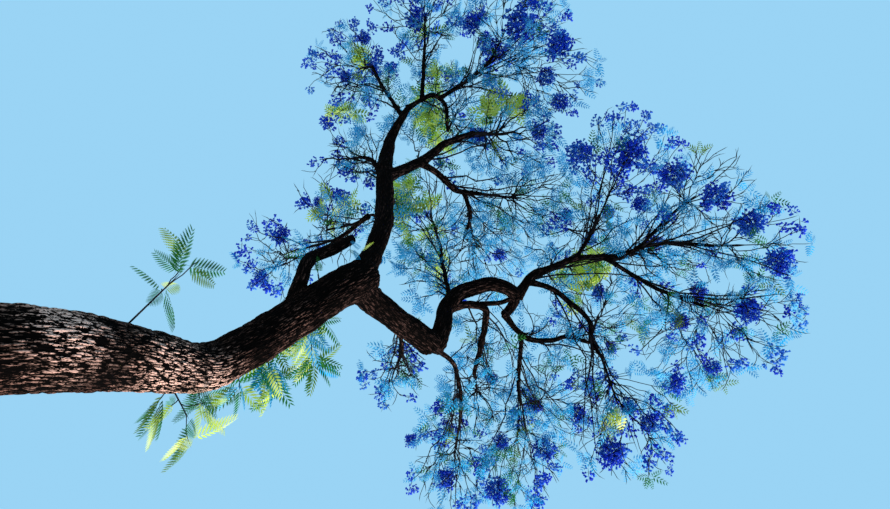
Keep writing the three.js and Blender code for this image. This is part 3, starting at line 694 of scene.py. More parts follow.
@dataclass(eq=False)
class Mass:
    """A mass of foliage in its own space: its number, its limb, its twigs, and which of them are tips."""

    plan: MassPlan
    seed: int
    limb: Limb
    rule: GrowthRule
    twigs: list[Twig] = field(default_factory=list)
    tips: list[int] = field(default_factory=list)

    def __post_init__(self) -> None:
        """Finds the foot of the mass's stem."""
        self.middle = np.array(self.plan.middle, float)
        self.on_trunk = self.plan.at is not None
        self.start = self.limb.curve.at(self.plan.at if self.on_trunk else 1.0)[0]
        self.sideways = np.zeros(3)

    def share_tip_with(self, other: "Mass") -> None:
        """Moves the stem to one side of a tip that carries two masses."""
        heading = self.limb.curve.heading(1.0)[0]
        apart = self.middle - other.middle
        apart = unit(apart - heading * (apart @ heading))
        self.sideways = apart * self.limb.radius_at(1) * self.rule.apart

    @property
    def lobe(self) -> str:
        """The name of the part of the crown that the mass is in."""
        if self.on_trunk:
            return "shoots"
        return next(name for name, starts in LOBES if self.plan.name.startswith(starts))

    @property
    def stem_radius(self) -> float:
        """The radius of the stem's foot."""
        if self.on_trunk:
            return self.rule.shoot_foot
        return self.limb.radius_at(1) * self.rule.stem_shares[int(self.sideways.any())]

    @property
    def stem(self) -> Array:
        """The stem's two ends."""
        outside = self.start + self.sideways
        reach = 1 if self.on_trunk else self.rule.stem_reach
        end = outside + (self.middle - outside) * reach
        if self.on_trunk:
            return np.array([outside, end])
        return np.array([outside - self.limb.curve.heading(1.0)[0] * self.stem_radius, end])

    def power(self, places: Array) -> Array:
        """How far places are inside the mass's ball, with the height stretched so that the ball is round."""
        away = places - self.middle
        flat = (away[..., :2] ** 2).sum(-1)
        return flat + (away[..., 2] / self.rule.flatten) ** 2 - self.plan.radius ** 2

    def margin_to(self, other: "Mass") -> float:
        """How much nearer a place has to be to this mass than to another, in the measure of its power."""
        return self.rule.space_margin * 2 * float(np.linalg.norm(self.middle - other.middle))

    def holds(self, places: Array, others: Sequence["Mass"]) -> bool:
        """Whether all places are in this mass's own space: in its ball, and nearer to it than to others."""
        own = self.power(places)
        if (own > 0).any():
            return False
        return all((own + self.margin_to(other) < other.power(places)).all() for other in others)

    def direction(self, number: int, count: int) -> Array:
        """One of so many directions that are spread evenly over the mass's ball."""
        level = 1 - (2 * number + 1) / count
        turn = GOLDEN_ANGLE * number + self.rule.seed_turn * self.seed
        ring = math.sqrt(1 - level * level)
        return np.array([ring * math.cos(turn), ring * math.sin(turn), level * self.rule.flatten])

    def ends(self, count: int, reach: float, clear_of: Callable[[Array], bool]) -> list[Array]:
        """Where so many twigs end, each drawn in towards the middle until it is in the space.

        Args:
            count: How many ends are tried.
            reach: How far out they are, as a share of the radius.
            clear_of: Says whether places are in the space and clear of the limbs.

        Returns:
            The ends that found a place.
        """
        found = []
        for number in range(count):
            way = self.direction(number, count)
            uneven = 1 if reach <= self.rule.coarse_reach else self.rule.uneven_share(self.seed, number)
            for share in self.rule.draw_in:
                end = self.middle + way * min(share * uneven * reach, self.rule.farthest) * self.plan.radius
                if clear_of(end[None]):
                    found.append(end)
                    break
        return found

    def joints(self, end: Array, path_cost: float) -> tuple[Array, Array, Array, Array]:
        """The best place on each older twig from which a new twig to this end can leave it.

        Args:
            end: Where the new twig ends.
            path_cost: What a metre of the way from the foot counts, next to a metre of new twig.

        Returns:
            The places, their shares of the older twigs, their ways from the stem's foot, and their costs.
        """
        lines = np.array([twig.line[[0, -1]] for twig in self.twigs])
        paths = np.array([twig.path for twig in self.twigs])
        starts, way = lines[:, 0], lines[:, 1] - lines[:, 0]
        length = np.linalg.norm(way, axis=1)
        nearest = np.clip(((end - starts) * way).sum(1) / length**2, 0, 1)
        gap = np.linalg.norm(starts + way * nearest[:, None] - end, axis=1)
        at = np.clip(nearest - self.rule.lag * gap / length, self.rule.first_joint, self.rule.last_joint)
        places = starts + way * at[:, None]
        ways = paths + at * length
        return places, at, ways, np.linalg.norm(places - end, axis=1) + path_cost * ways

    def add(self, ends: list[Array], path_cost: float, clear_of: Callable[[Array], bool]) -> list[int]:
        """Grows a round of twigs to their ends, nearest first.

        Args:
            ends: Where they end.
            path_cost: What a metre of the way from the foot counts.
            clear_of: Says whether places are in the space and clear of the limbs.

        Returns:
            The numbers of the new twigs.
        """
        root = self.stem[1]
        grown = []
        for end in sorted(ends, key=lambda place: np.linalg.norm(place - root)):
            places, shares, ways, costs = self.joints(end, path_cost)
            for best in np.argsort(costs)[:self.rule.tries]:
                if clear_of(np.linspace(places[best], end, self.rule.probes)):
                    grown.append(len(self.twigs))
                    self.twigs.append(self.bent(int(best), float(shares[best]), end, float(ways[best])))
                    break
        return grown

    def bent(self, older: int, at: float, end: Array, path: float) -> Twig:
        """A twig that leaves an older one along it, turns to its end, lifts its tip and wavers a little."""
        rule = self.rule
        line = self.twigs[older].line
        spread = np.linspace(0, 1, len(line))
        start = np.array([np.interp(at, spread, line[:, k]) for k in range(3)])
        way = end - start
        size = float(np.linalg.norm(way))
        ahead = unit(rule.follow * unit(line[-1] - line[0]) + unit(way))
        knee = start + rule.bend * size * ahead - rule.sag * size * UP
        shares = np.linspace(0, 1, rule.knots)[:, None]
        curve = (1 - shares) ** 2 * start + 2 * shares * (1 - shares) * knee + shares**2 * end
        seed = Vector((len(self.twigs) * rule.waver_turn, self.seed, 0))
        stray = [noise.noise_vector(Vector(spot) * rule.waver_scale + seed) for spot in curve[1:-1]]
        curve[1:-1] += rule.waver * size * np.array(stray)
        return Twig(curve, path, older)

    def grow(self, others: Sequence["Mass"], limbs: Capsules, openings: Capsules) -> None:
        """Grows the twigs: the solid model's own ones first, and then finer rounds of them.

        Args:
            others: The masses whose spaces are left alone.
            limbs: The capsules of all limbs.
            openings: The open tubes through the crown, which the finer rounds leave free.
        """
        rule = self.rule
        near = np.linalg.norm(limbs[0] - self.middle, axis=1) < rule.near * self.plan.radius
        lines = tuple(values[near] for values in limbs)

        def clear_of(places: Array) -> bool:
            """Whether places are in the space and clear of the limbs."""
            if not self.holds(places[-1:], others):
                return False
            return not near.any() or bool((gap_to_lines(places, *lines) > rule.clear).all())

        def in_the_open(places: Array) -> bool:
            """Whether places are also outside the crown's open tubes."""
            return clear_of(places) and bool((gap_to_lines(places[-1:], *openings) > 0).all())

        foot, tip = self.stem
        self.twigs.append(Twig(np.linspace(foot, tip, rule.knots), 0, -1))
        count = max(rule.fewest, round(self.plan.radius / rule.twig_step))
        ends = self.ends(count, rule.coarse_reach, clear_of)
        self.tips = self.add(ends, rule.path_cost, clear_of)
        if not self.on_trunk:
            for count, reach in rule.rounds:
                number = round(count * self.plan.radius**2 * self.plan.full)
                ends = self.ends(number, reach, in_the_open)
                self.tips += self.add(ends, rule.fine_path_cost, in_the_open)
        self.thicken()

    def thicken(self) -> None:
        """Gives each twig its thickness from the number of ends that it carries, from the tips down."""
        rule = self.rule
        for twig in reversed(self.twigs):
            twig.ends += 1
            if twig.older >= 0:
                self.twigs[twig.older].ends += twig.ends
        most = self.twigs[0].ends
        for twig in self.twigs:
            share = ((twig.ends - 1) / max(most - 1, 1)) ** rule.thinning
            stem = self.stem_radius * (rule.shoot_stem if self.on_trunk else 1)
            twig.thick = rule.twig_radius + (stem - rule.twig_radius) * share
            twig.thin = max(rule.twig_radius, rule.taper * twig.thick)


class Piece(Enum):
    """The kinds of thing that the crown is joined into."""

    TWIGS = "twigs"
    LEAVES = "leaves"
    BLOSSOM = "blossom"


@dataclass(eq=False)
class Bundle:
    """Small shapes of one kind and slot, gathered by part of the crown, with materials chosen by number."""

    kind: Piece
    slot: str
    materials: Sequence[bpy.types.Material]
    parts: dict[str, list[tuple[Array, Array, Array]]] = field(default_factory=dict)
    nodes: dict[str, list[str]] = field(default_factory=dict)

    def put(self, mass: Mass, corners: Array, faces: Array, tones: Array | None = None) -> None:
        """Adds shapes that have the same faces.

        Args:
            mass: The mass that they count as.
            corners: Their corners, as shapes by corners by three.
            faces: The corner numbers of one shape's triangles.
            tones: The material number of each shape, or None for the first one.
        """
        shapes, size = corners.shape[:2]
        if shapes == 0:
            return
        tones = np.zeros(shapes, int) if tones is None else tones
        numbers = faces[None] + size * np.arange(shapes)[:, None, None]
        part = (corners.reshape(-1, 3), numbers.reshape(-1, 3), np.repeat(tones, len(faces)))
        self.parts.setdefault(mass.lobe, []).append(part)
        named = self.nodes.setdefault(mass.lobe, [])
        if mass.plan.name not in named:
            named.append(mass.plan.name)

    def build(self) -> None:
        """Makes one object for each group."""
        for group, parts in self.parts.items():
            offset = np.cumsum([0] + [len(corners) for corners, _, _ in parts])
            corners = np.concatenate([corners for corners, _, _ in parts])
            faces = np.concatenate([faces + start for (_, faces, _), start in zip(parts, offset)])
            tones = np.concatenate([tones for _, _, tones in parts])
            mesh = bpy.data.meshes.new(f"{self.kind.value}_{group}")
            mesh.vertices.add(len(corners))
            mesh.vertices.foreach_set("co", corners.astype(np.float32).ravel())
            mesh.loops.add(faces.size)
            mesh.loops.foreach_set("vertex_index", faces.astype(np.int32).ravel())
            mesh.polygons.add(len(faces))
            mesh.polygons.foreach_set("loop_start", np.arange(0, faces.size, 3, dtype=np.int32))
            for material in self.materials:
                mesh.materials.append(material)
            mesh.polygons.foreach_set("material_index", tones.astype(np.int32))
            mesh.update(calc_edges=True)
            mesh.validate()
            finished(linked(mesh.name, mesh), self.nodes[group])


@dataclass(frozen=True)
class Template:
    """A small shape that is repeated many times: its corners and its triangles."""

    corners: Array
    faces: Array

    @staticmethod
    def of(bm: bmesh.types.BMesh) -> "Template":
        """Takes the shape out of a bmesh, and frees that."""
        bmesh.ops.triangulate(bm, faces=bm.faces)
        bm.verts.index_update()
        corners = np.array([v.co for v in bm.verts])
        faces = np.array([[v.index for v in face.verts] for face in bm.faces])
        bm.free()
        return Template(corners, faces)

    def placed(self, roots: Array, headings: Array, ups: Array, sizes: Array) -> Array:
        """The corners of copies of the shape.

        Args:
            roots: Where the copies' origins go.
            headings: Where their +X points.
            ups: Where their +Z leans, one row each or one for all.
            sizes: Their scales.

        Returns:
            The corners, as copies by corners by three.
        """
        headings = unit(headings)
        sides = unit(np.cross(ups, headings))
        tops = np.cross(headings, sides)
        turned = np.einsum("ck,skj->scj", self.corners, np.stack([headings, sides, tops], axis=1))
        return roots[:, None] + turned * sizes[:, None, None]

    def joined(self, copies: Array) -> "Template":
        """One shape of several placed copies of this one."""
        faces = self.faces[None] + len(self.corners) * np.arange(len(copies))[:, None, None]
        return Template(copies.reshape(-1, 3), faces.reshape(-1, 3))

    def __add__(self, other: "Template") -> "Template":
        """The two shapes as one."""
        faces = np.vstack([self.faces, other.faces + len(self.corners)])
        return Template(np.vstack([self.corners, other.corners]), faces)


@dataclass(frozen=True)
class BladeShape:
    """A flat lozenge of length one along +X: its widest place and its half width there."""

    widest: float = 0.42
    half: float = 0.1
    near_middle: float = 0.1

    def template(self) -> Template:
        """Makes the lozenge from a disc of four corners."""
        bm = bmesh.new()
        corners = bmesh.ops.create_circle(bm, cap_ends=True, segments=4, radius=0.5)["verts"]
        for corner in corners:
            middle = abs(corner.co.x) < self.near_middle
            across = math.copysign(self.half, corner.co.y) if middle else 0
            corner.co = (self.widest if middle else corner.co.x + 0.5, across, 0)
        return Template.of(bm)


@dataclass(frozen=True)
class FrondShape:
    """A feathered frond of length one along +X, that droops towards its tip."""

    pairs: int = 5
    stalk: float = 0.12
    pinna: float = 0.34
    pinna_half: float = 0.15
    pinna_rise: tuple[float, float, float] = (0.2, 0.68, 0.8)
    swept: float = 1.05
    swept_span: Span = (1.15, 0.5)
    droop: float = 0.2
    fold: float = 0.25
    rib: float = 0.008
    rib_widest: float = 0.3
    rib_overlap: float = 1.03
    leaflets: int = 0
    leaflet: float = 0.17
    leaflet_half: float = 0.4
    leaflet_first: float = 0.7
    leaflet_lean: float = 0.5
    leaflet_rise: Span = (0.25, 0.6)
    leaflet_rib: float = 0.02

    def spine(self, shares: Array, lean: float) -> Array:
        """Places on the frond's midrib."""
        shares = np.asarray(shares, float)
        return rows(shares, lean * shares**2, -self.droop * shares**2)

    def pinna_template(self) -> Template:
        """One side leaf of length one: a plain blade, or a rib with pairs of leaflets."""
        if self.leaflets == 0:
            return BladeShape(half=self.pinna_half).template()
        shares = np.repeat((np.arange(self.leaflets) + self.leaflet_first) / self.leaflets, 2)
        hands = np.tile([1.0, -1.0], self.leaflets)
        least, span = self.leaflet_rise
        sizes = self.leaflet * np.sin(math.pi * (least + span * shares))
        leaflet = BladeShape(half=self.leaflet_half).template()
        rib = BladeShape(half=self.leaflet_rib).template()
        headings = rows(self.leaflet_lean, hands, 0)
        return rib + leaflet.joined(leaflet.placed(rows(shares, 0, 0), headings, UP, sizes))

    def template(self, lean: float) -> Template:
        """Makes the frond.

        Args:
            lean: How far its tip swings to one side.

        Returns:
            The whole frond.
        """
        pairs = np.arange(self.pairs)
        shares = np.repeat(self.stalk + (1 - self.stalk) * (pairs + 0.5) / self.pairs, 2)
        hands = np.tile([1.0, -1.0], self.pairs)
        widest, narrower = self.swept_span
        turns = hands * self.swept * (widest - narrower * shares) + 2 * lean * shares
        drops = -self.fold - 2 * self.droop * shares
        headings = rows(np.cos(turns), np.sin(turns), drops)
        least, span, power = self.pinna_rise
        sizes = self.pinna * np.sin(math.pi * (least + span * shares)) ** power
        pinna = self.pinna_template()
        leaves = pinna.joined(pinna.placed(self.spine(shares, lean), headings, UP, sizes))
        knots = self.spine(np.array([0, 0.5, 1]), lean)
        ways = np.diff(knots, axis=0)
        rib = BladeShape(widest=self.rib_widest, half=self.rib).template()
        lengths = np.linalg.norm(ways, axis=1) * self.rib_overlap
        return leaves + rib.joined(rib.placed(knots[:-1], ways, UP, lengths))


@dataclass(frozen=True)
class PanicleShape:
    """A panicle of length one along +X: side stalks with trumpet-shaped florets, fewer towards the tip."""

    branches: int = 8
    each: int = 3
    spread: float = 0.32
    floret: float = 0.22
    petals: int = 4
    mouth: float = 0.34
    throat: float = 0.6
    weld: float = 1e-4
    first: float = 0.15
    offset: float = 0.3
    rise: float = 0.45
    taper: float = 1.15
    tilt: float = 0.3
    stalk_half: float = 0.02
    bare: float = 0.55
    wander: float = 0.75
    floret_sizes: Span = (0.8, 1.15)

    def floret_template(self) -> Template:
        """A trumpet of length one along +X, closed by its throat."""
        bm = bmesh.new()
        turned = Matrix.Rotation(math.pi / 2, 4, "Y") @ Matrix.Translation((0, 0, 0.5))
        bmesh.ops.create_cone(bm, cap_ends=True, cap_tris=True, segments=self.petals, radius1=0,
                              radius2=self.mouth, depth=1, matrix=turned)
        bmesh.ops.remove_doubles(bm, verts=bm.verts, dist=self.weld)
        for corner in bm.verts:
            if corner.co.x > 0.5 and math.hypot(corner.co.y, corner.co.z) < self.mouth / 2:
                corner.co.x = self.throat
        return Template.of(bm)

    def templates(self, seed: int) -> tuple[Template, Template]:
        """Makes the panicle's stalks and its florets.

        Args:
            seed: Which panicle.

        Returns:
            The stalks, and the florets.
        """
        random = np.random.default_rng(seed)
        shares = self.first + (1 - self.first) * (np.arange(self.branches) + self.offset) / self.branches
        turns = GOLDEN_ANGLE * np.arange(self.branches) + seed
        ways = rows(self.rise, np.cos(turns), np.sin(turns))
        reach = self.spread * (self.taper - shares)
        roots, axes = rows(shares, 0, 0), np.eye(3)
        blade = BladeShape(half=self.stalk_half * 2).template()
        main = BladeShape(half=self.stalk_half).template()
        stalks = blade.joined(blade.placed(roots, ways, UP + self.tilt, reach))
        stalks += main.joined(main.placed(np.zeros((2, 3)), axes[[0, 0]], axes[[2, 1]], np.ones(2)))
        parts = np.linspace(self.bare, 1, self.each)
        starts = (roots[:, None] + (unit(ways) * reach[:, None])[:, None] * parts[:, None]).reshape(-1, 3)
        aims = np.repeat(unit(ways), self.each, axis=0) + self.wander * random.normal(size=starts.shape)
        sizes = self.floret * random.uniform(*self.floret_sizes, len(starts))
        floret = self.floret_template()
        return stalks, floret.joined(floret.placed(starts, aims, random.normal(size=starts.shape), sizes))


def tubes(lines: Array, thick: Array, thin: Array, sides: int) -> tuple[Array, Array]:
    """Closed tapering tubes along bent lines.

    Args:
        lines: The lines, as tubes by knots by three.
        thick: Each tube's radius at its start.
        thin: Its radius at its end.
        sides: How many sides the tubes have.

    Returns:
        The corners of each tube, and the triangles that all tubes share.
    """
    knots = lines.shape[1]
    headings = unit(np.gradient(lines, axis=1))
    whole = unit(lines[:, -1] - lines[:, 0])
    reference = np.where(np.abs(whole[:, 2:]) > SHAPE.steep, [[1.0, 0, 0]], UP)
    firsts = unit(np.cross(headings, reference[:, None]))
    seconds = np.cross(headings, firsts)
    turns = 2 * math.pi * np.arange(sides) / sides
    ring = around(turns, firsts[:, :, None], seconds[:, :, None])
    radii = thick[:, None] + (thin - thick)[:, None] * np.linspace(0, 1, knots)
    skin = lines[:, :, None] + ring * radii[..., None, None]
    corners = np.concatenate([skin[:, :-1].reshape(len(lines), -1, 3), lines[:, :1], lines[:, -1:]], axis=1)
    foot, tip, last = sides * (knots - 1), sides * (knots - 1) + 1, sides * (knots - 2)
    faces = []
    for side in range(sides):
        after = (side + 1) % sides
        for start in range(0, last, sides):
            a, b, c, d = start + side, start + after, start + sides + after, start + sides + side
            faces += [(a, b, c), (a, c, d)]
        faces += [(foot, after, side), (tip, last + side, last + after)]
    return corners, np.array(faces)


RAGGED_SHARE = 0.7
RAGGED_LENGTH = 0.16


@dataclass(frozen=True)
class Patch:
    """A ball in the crown where the ends of the twigs are all of one kind."""

    middle: Place
    radius: float


def in_patches(place: Array, patches: Sequence[Patch]) -> bool:
    """Whether a place is in one of the patches, whose edges are ragged."""
    ragged = 1 + RAGGED_SHARE * noise.noise(Vector(place / RAGGED_LENGTH))
    return any(np.linalg.norm(place - patch.middle) < patch.radius * ragged for patch in patches)


BLOSSOM_PATCHES = (
    Patch((-5.1, 1.4, 12.1), 0.35), Patch((-4.5, 0.4, 11.8), 0.27), Patch((-4.0, 0.6, 11.8), 0.2),
    Patch((-3.6, 0.4, 12.0), 0.19), Patch((-5.1, 2.2, 11.8), 0.23), Patch((-4.6, 1.8, 12.1), 0.18),
    Patch((-5.2, 3.2, 11.4), 0.26), Patch((-4.7, 3.8, 10.7), 0.16), Patch((-4.0, 4.1, 10.6), 0.13),
    Patch((-3.0, 1.6, 11.5), 0.14), Patch((-3.1, 0.7, 11.9), 0.18), Patch((-2.8, 0.1, 12.3), 0.27),
    Patch((-2.8, -0.7, 12.5), 0.35), Patch((-2.4, -1.6, 12.1), 0.27), Patch((-2.1, -2.2, 12.2), 0.27),
    Patch((-1.7, -2.8, 11.9), 0.24), Patch((-1.2, -3.2, 11.9), 0.24), Patch((-0.5, -2.9, 11.8), 0.22),
    Patch((0.4, -2.3, 12.4), 0.15), Patch((-0.2, -1.8, 12.3), 0.16), Patch((-0.7, -2.0, 12.4), 0.15),
    Patch((-1.4, -1.1, 12.75), 0.18), Patch((-2.0, -0.9, 12.6), 0.17), Patch((-1.9, -0.1, 13.1), 0.14),
    Patch((-0.5, -0.2, 12.8), 0.17), Patch((-1.8, 0.6, 12.9), 0.15), Patch((-1.0, 1.8, 12.7), 0.15),
    Patch((-1.4, 0.2, 13.1), 0.14), Patch((1.8, -1.2, 11.6), 0.27), Patch((1.3, -1.6, 11.9), 0.21),
    Patch((0.7, -1.8, 12.25), 0.22), Patch((1.1, -1.3, 11.8), 0.15), Patch((1.5, -0.2, 12.4), 0.18),
    Patch((1.5, 0.5, 12.2), 0.17), Patch((2.1, 0.1, 11.9), 0.23), Patch((2.1, 0.8, 11.7), 0.17),
    Patch((2.8, 0.6, 11.4), 0.28), Patch((2.7, 1.3, 10.9), 0.23), Patch((2.2, 2.0, 10.8), 0.14),
    Patch((1.0, -0.3, 12.5), 0.14), Patch((0.4, -0.5, 12.8), 0.14), Patch((1.1, 1.1, 11.7), 0.13),
    Patch((-1.0, 3.8, 9.2), 0.19), Patch((-0.3, 4.1, 9.1), 0.16), Patch((-1.6, 3.2, 9.4), 0.11),
)

YOUNG_PATCHES = (
    Patch((-4.3, 4.0, 10.8), 0.28), Patch((-3.4, 4.15, 10.7), 0.28), Patch((-3.3, 2.9, 11.7), 0.45),
    Patch((-3.45, 1.3, 11.6), 0.32), Patch((-1.65, 2.35, 10.9), 0.43), Patch((-0.55, 3.05, 12.3), 0.38),
    Patch((-0.8, 0.0, 12.7), 0.42), Patch((-0.2, -0.1, 12.7), 0.3), Patch((1.4, -1.2, 11.7), 0.24),
    Patch((0.4, 1.8, 9.5), 0.2), Patch((-1.44, 2.83, 9.6), 0.27), Patch((-4.1, 2.7, 11.6), 0.2),
    Patch((-4.9, 3.1, 11.4), 0.18),
)

OPENINGS = (
    ((-2.34, 2.57, 8.5), (-2.96, 6.08, 11.5), 0.38), ((-4.01, 2.12, 9.5), (-5.68, 6.26, 13.8), 0.28),
    ((-0.92, -3.28, 9.5), (-0.91, -2.07, 13.8), 0.18), ((-3.0, 2.4, 8.5), (-3.91, 5.83, 11.5), 0.24),
    ((-3.87, 0.5, 9.5), (-5.47, 3.76, 13.8), 0.22), ((-1.91, 2.72, 9.5), (-2.46, 7.19, 13.8), 0.24),
    ((-1.23, -1.19, 9.5), (-1.4, 1.15, 13.8), 0.18), ((-3.92, 1.09, 9.5), (-5.55, 4.67, 13.8), 0.2),
    ((0.34, -2.4, 9.5), (1.03, -0.71, 13.8), 0.15), ((-3.61, 0.42, 9.5), (-5.07, 3.64, 13.8), 0.17),
    ((-1.77, -0.29, 9.5), (-2.23, 2.54, 13.8), 0.16), ((-0.77, -1.9, 9.5), (-0.69, 0.05, 13.8), 0.14),
    ((0.12, -1.57, 9.5), (0.69, 0.57, 13.8), 0.15), ((0.43, -1.43, 9.5), (1.16, 0.78, 13.8), 0.15),
    ((-4.27, 1.09, 9.5), (-6.09, 4.68, 13.8), 0.17), ((-0.79, 0.24, 9.5), (-0.71, 3.37, 13.8), 0.15),
    ((-1.78, -1.8, 9.5), (-2.25, 0.21, 13.8), 0.13), ((-1.57, -2.34, 9.5), (-1.92, -0.62, 13.8), 0.13),
    ((-1.18, 2.41, 8.5), (-1.29, 5.84, 11.5), 0.16), ((-0.55, 2.66, 8.5), (-0.39, 6.2, 11.5), 0.15),
    ((-0.93, -2.24, 9.5), (-0.93, -0.46, 13.8), 0.13), ((-0.4, -1.89, 9.5), (-0.12, 0.08, 13.8), 0.13),
    ((1.88, 0.65, 9.5), (3.4, 3.99, 13.8), 0.16), ((1.71, 0.05, 9.5), (3.14, 3.07, 13.8), 0.15),
    ((-3.16, -0.36, 9.5), (-4.38, 2.44, 13.8), 0.14), ((-2.64, -1.28, 9.5), (-3.58, 1.05, 13.8), 0.3),
    ((-0.42, -3.19, 9.5), (-0.15, -1.94, 13.8), 0.11), ((0.52, -0.51, 9.5), (1.3, 2.21, 13.8), 0.13),
)


class Tone(Enum):
    """The colours of the leaves, by their number in the leaves' list of materials."""

    TEAL = 0
    GREEN = 1
    GREY = 2
    YOUNG = 3
    OLIVE = 4


class Chances(Enum):
    """What chances are drawn for, and where the numbers of its seeds start."""

    SPRAYS = 0
    SPURS = 100
    STRANDS = 200
    SPRIGS = 300
    BLOOMS = 400
    REACHES = 500

    def drawn(self, number: int) -> Random:
        """The chances of one numbered thing."""
        return np.random.default_rng(self.value + number)


@dataclass(frozen=True)
class SprayRule:
    """How leaves and blossom sit on the ends of the twigs, in metres."""

    leaf_least: float = 0.67
    leaf_span: float = 0.34
    whorl: tuple[int, int] = (5, 8)
    young_whorl: tuple[int, int] = (6, 10)
    young_tones: tuple[float, ...] = (0, 0.08, 0.04, 0.7, 0.18)
    frond: Span = (0.15, 0.26)
    young_frond: Span = (0.22, 0.34)
    spread: float = 1.5
    hang: float = 0.25
    clump: float = 0.35
    blossom_least: float = 0.48
    blossom_span: float = 0.3
    blossom_clump: float = 0.45
    panicles: tuple[int, int] = (1, 3)
    bloom_panicles: int = 17
    bloom_size: Span = (0.75, 1.0)
    panicle: Span = (0.17, 0.26)
    blossom_alone: float = 0.6
    shares: tuple[float, ...] = (0.45, 0.13, 0.4, 0, 0.02)
    shoot_fronds: tuple[int, int] = (7, 10)
    shoot_tones: tuple[float, ...] = (0, 0.6, 0, 0.28, 0.12)
    high_tones: tuple[float, ...] = (0.14, 0.52, 0.06, 0.22, 0.06)
    high_shoots: float = 6.0
    shoot_frond: Span = (0.28, 0.46)
    bark_reach: float = 0.9
    bark_clear: float = 0.035
    bare_girth: float = 0.05
    bare: float = 0.3
    shoot_spread: float = 0.95
    shoot_hang: float = 0.4
    variants: int = 4
    panicle_variants: int = 3
    lean: float = 0.14
    crowding: float = 1.5
    span: float = 0.9
    inward: float = 0.7
    outside: float = 0.07
    probes: tuple[float, ...] = (0.4, 0.7, 1)
    tilt: float = 0.25
    shoot_tilt: float = 0.4
    panicle_spread: float = 0.35
    panicle_lift: float = 0.15
    panicle_tilt: float = 0.3
    bloom_spread: float = 0.15
    sprig_depth: float = 0.8
    sprig_length: float = 0.16
    sprig_radii: Span = (0.008, 0.005)


@dataclass(frozen=True)
class SpurRule:
    """How side twigs stand along the limbs, in metres, and which of their ends are in leaf."""

    most_girth: float = 0.16
    first: float = 0.2
    last: float = 0.97
    apart: float = 0.2
    lean: float = 0.9
    rise: float = 0.25
    length: Span = (0.25, 0.7)
    thick: float = 0.01
    thick_share: float = 0.4
    forks: int = 2
    fork_length: float = 0.6
    fork_thick: float = 0.75
    fork_turn: float = 0.8
    fork_at: int = 2
    taper: float = 0.6
    waver: float = 0.05
    leafy: float = 0.15
    whorl: tuple[int, int] = (3, 7)


@dataclass(frozen=True)
class StrandRule:
    """How long slender branches run from along the limbs to the ends of the masses' twigs, in metres."""

    count: int = 5
    shortest: float = 0.9
    along: Span = (0.1, 0.8)
    back: float = 0.55
    knots: int = 10
    bend: float = 0.45
    follow: float = 0.6
    waver: float = 0.04
    waver_length: float = 0.4
    thick: float = 0.015
    thick_share: float = 0.5
    thin: float = 0.006
    sides: int = 4
    side_first: float = 0.2
    side_apart: float = 0.2
    side: Span = (0.15, 0.4)
    forks: int = 1
    reach_leafy: float = 0.5


@dataclass(frozen=True)
class Reach:
    """A slender branch of its own: its limb, how far along it starts, and where it ends."""

    limb: str
    at: float
    end: Place


REACHES = (
    Reach("riser_bough", 0.45, (-0.94, 2.63, 10.9)), Reach("riser_bough", 0.3, (-0.34, 2.48, 10.7)),
    Reach("riser_bough", 0.2, (-0.14, 1.98, 10.6)), Reach("left_bough", 0.45, (-1.36, 2.35, 10.6)),
    Reach("right_top_bough", 0.4, (-1.2, 1.13, 12.3)), Reach("right_low_bough", 0.3, (-0.26, 0.85, 12.0)),
    Reach("right_low_bough", 0.2, (-0.02, 0.25, 12.0)), Reach("right_top_bough", 0.3, (-0.49, 0.18, 12.0)),
    Reach("right_strand_bough", 0.35, (0.11, 1.45, 11.2)),
    Reach("right_strand_bough", 0.6, (0.39, 0.8, 11.4)),
    Reach("right_low_bough", 0.12, (0.5, 0.38, 11.6)), Reach("right_top_bough", 0.2, (-0.8, 0.53, 12.2)),
    Reach("riser_bough", 0.35, (-0.61, 2.74, 10.8)), Reach("left_inner_bough", 0.3, (-2.99, 2.86, 10.9)),
    Reach("left_low_bough", 0.6, (-2.96, 3.15, 10.3)), Reach("left_bough", 0.6, (-3.65, 3.25, 11.2)),
    Reach("left_bough", 0.3, (-1.67, 2.37, 10.4)),
)


@dataclass(frozen=True)
class Sprig:
    """A leafy shoot straight out of the trunk: how far along, which way it points, and its fronds."""

    at: float
    way: Place
    fronds: int
    sizes: Span
    beside: str


SPRIGS = (
    Sprig(0.9, (-0.9, 0.5, 0.1), 5, (0.16, 0.26), "high_shoot"),
    Sprig(0.965, (-0.9, 0.1, 0.3), 4, (0.14, 0.22), "high_shoot"),
    Sprig(0.665, (0.9, 0.2, -0.25), 7, (0.28, 0.42), "right_shoot"),
    Sprig(0.705, (0.9, 0.1, 0), 6, (0.24, 0.36), "right_shoot"),
    Sprig(0.75, (0.9, -0.2, 0.2), 8, (0.28, 0.4), "high_shoot"),
    Sprig(0.8, (0.9, 0.1, 0.3), 8, (0.3, 0.44), "fork_shoot"),
    Sprig(0.83, (0.9, 0.4, 0.3), 9, (0.3, 0.44), "fork_shoot"),
    Sprig(0.865, (0.8, 0.3, 0.6), 9, (0.3, 0.42), "fork_shoot"),
    Sprig(0.9, (0.8, 0.6, 0.5), 8, (0.24, 0.38), "fork_shoot"),
)


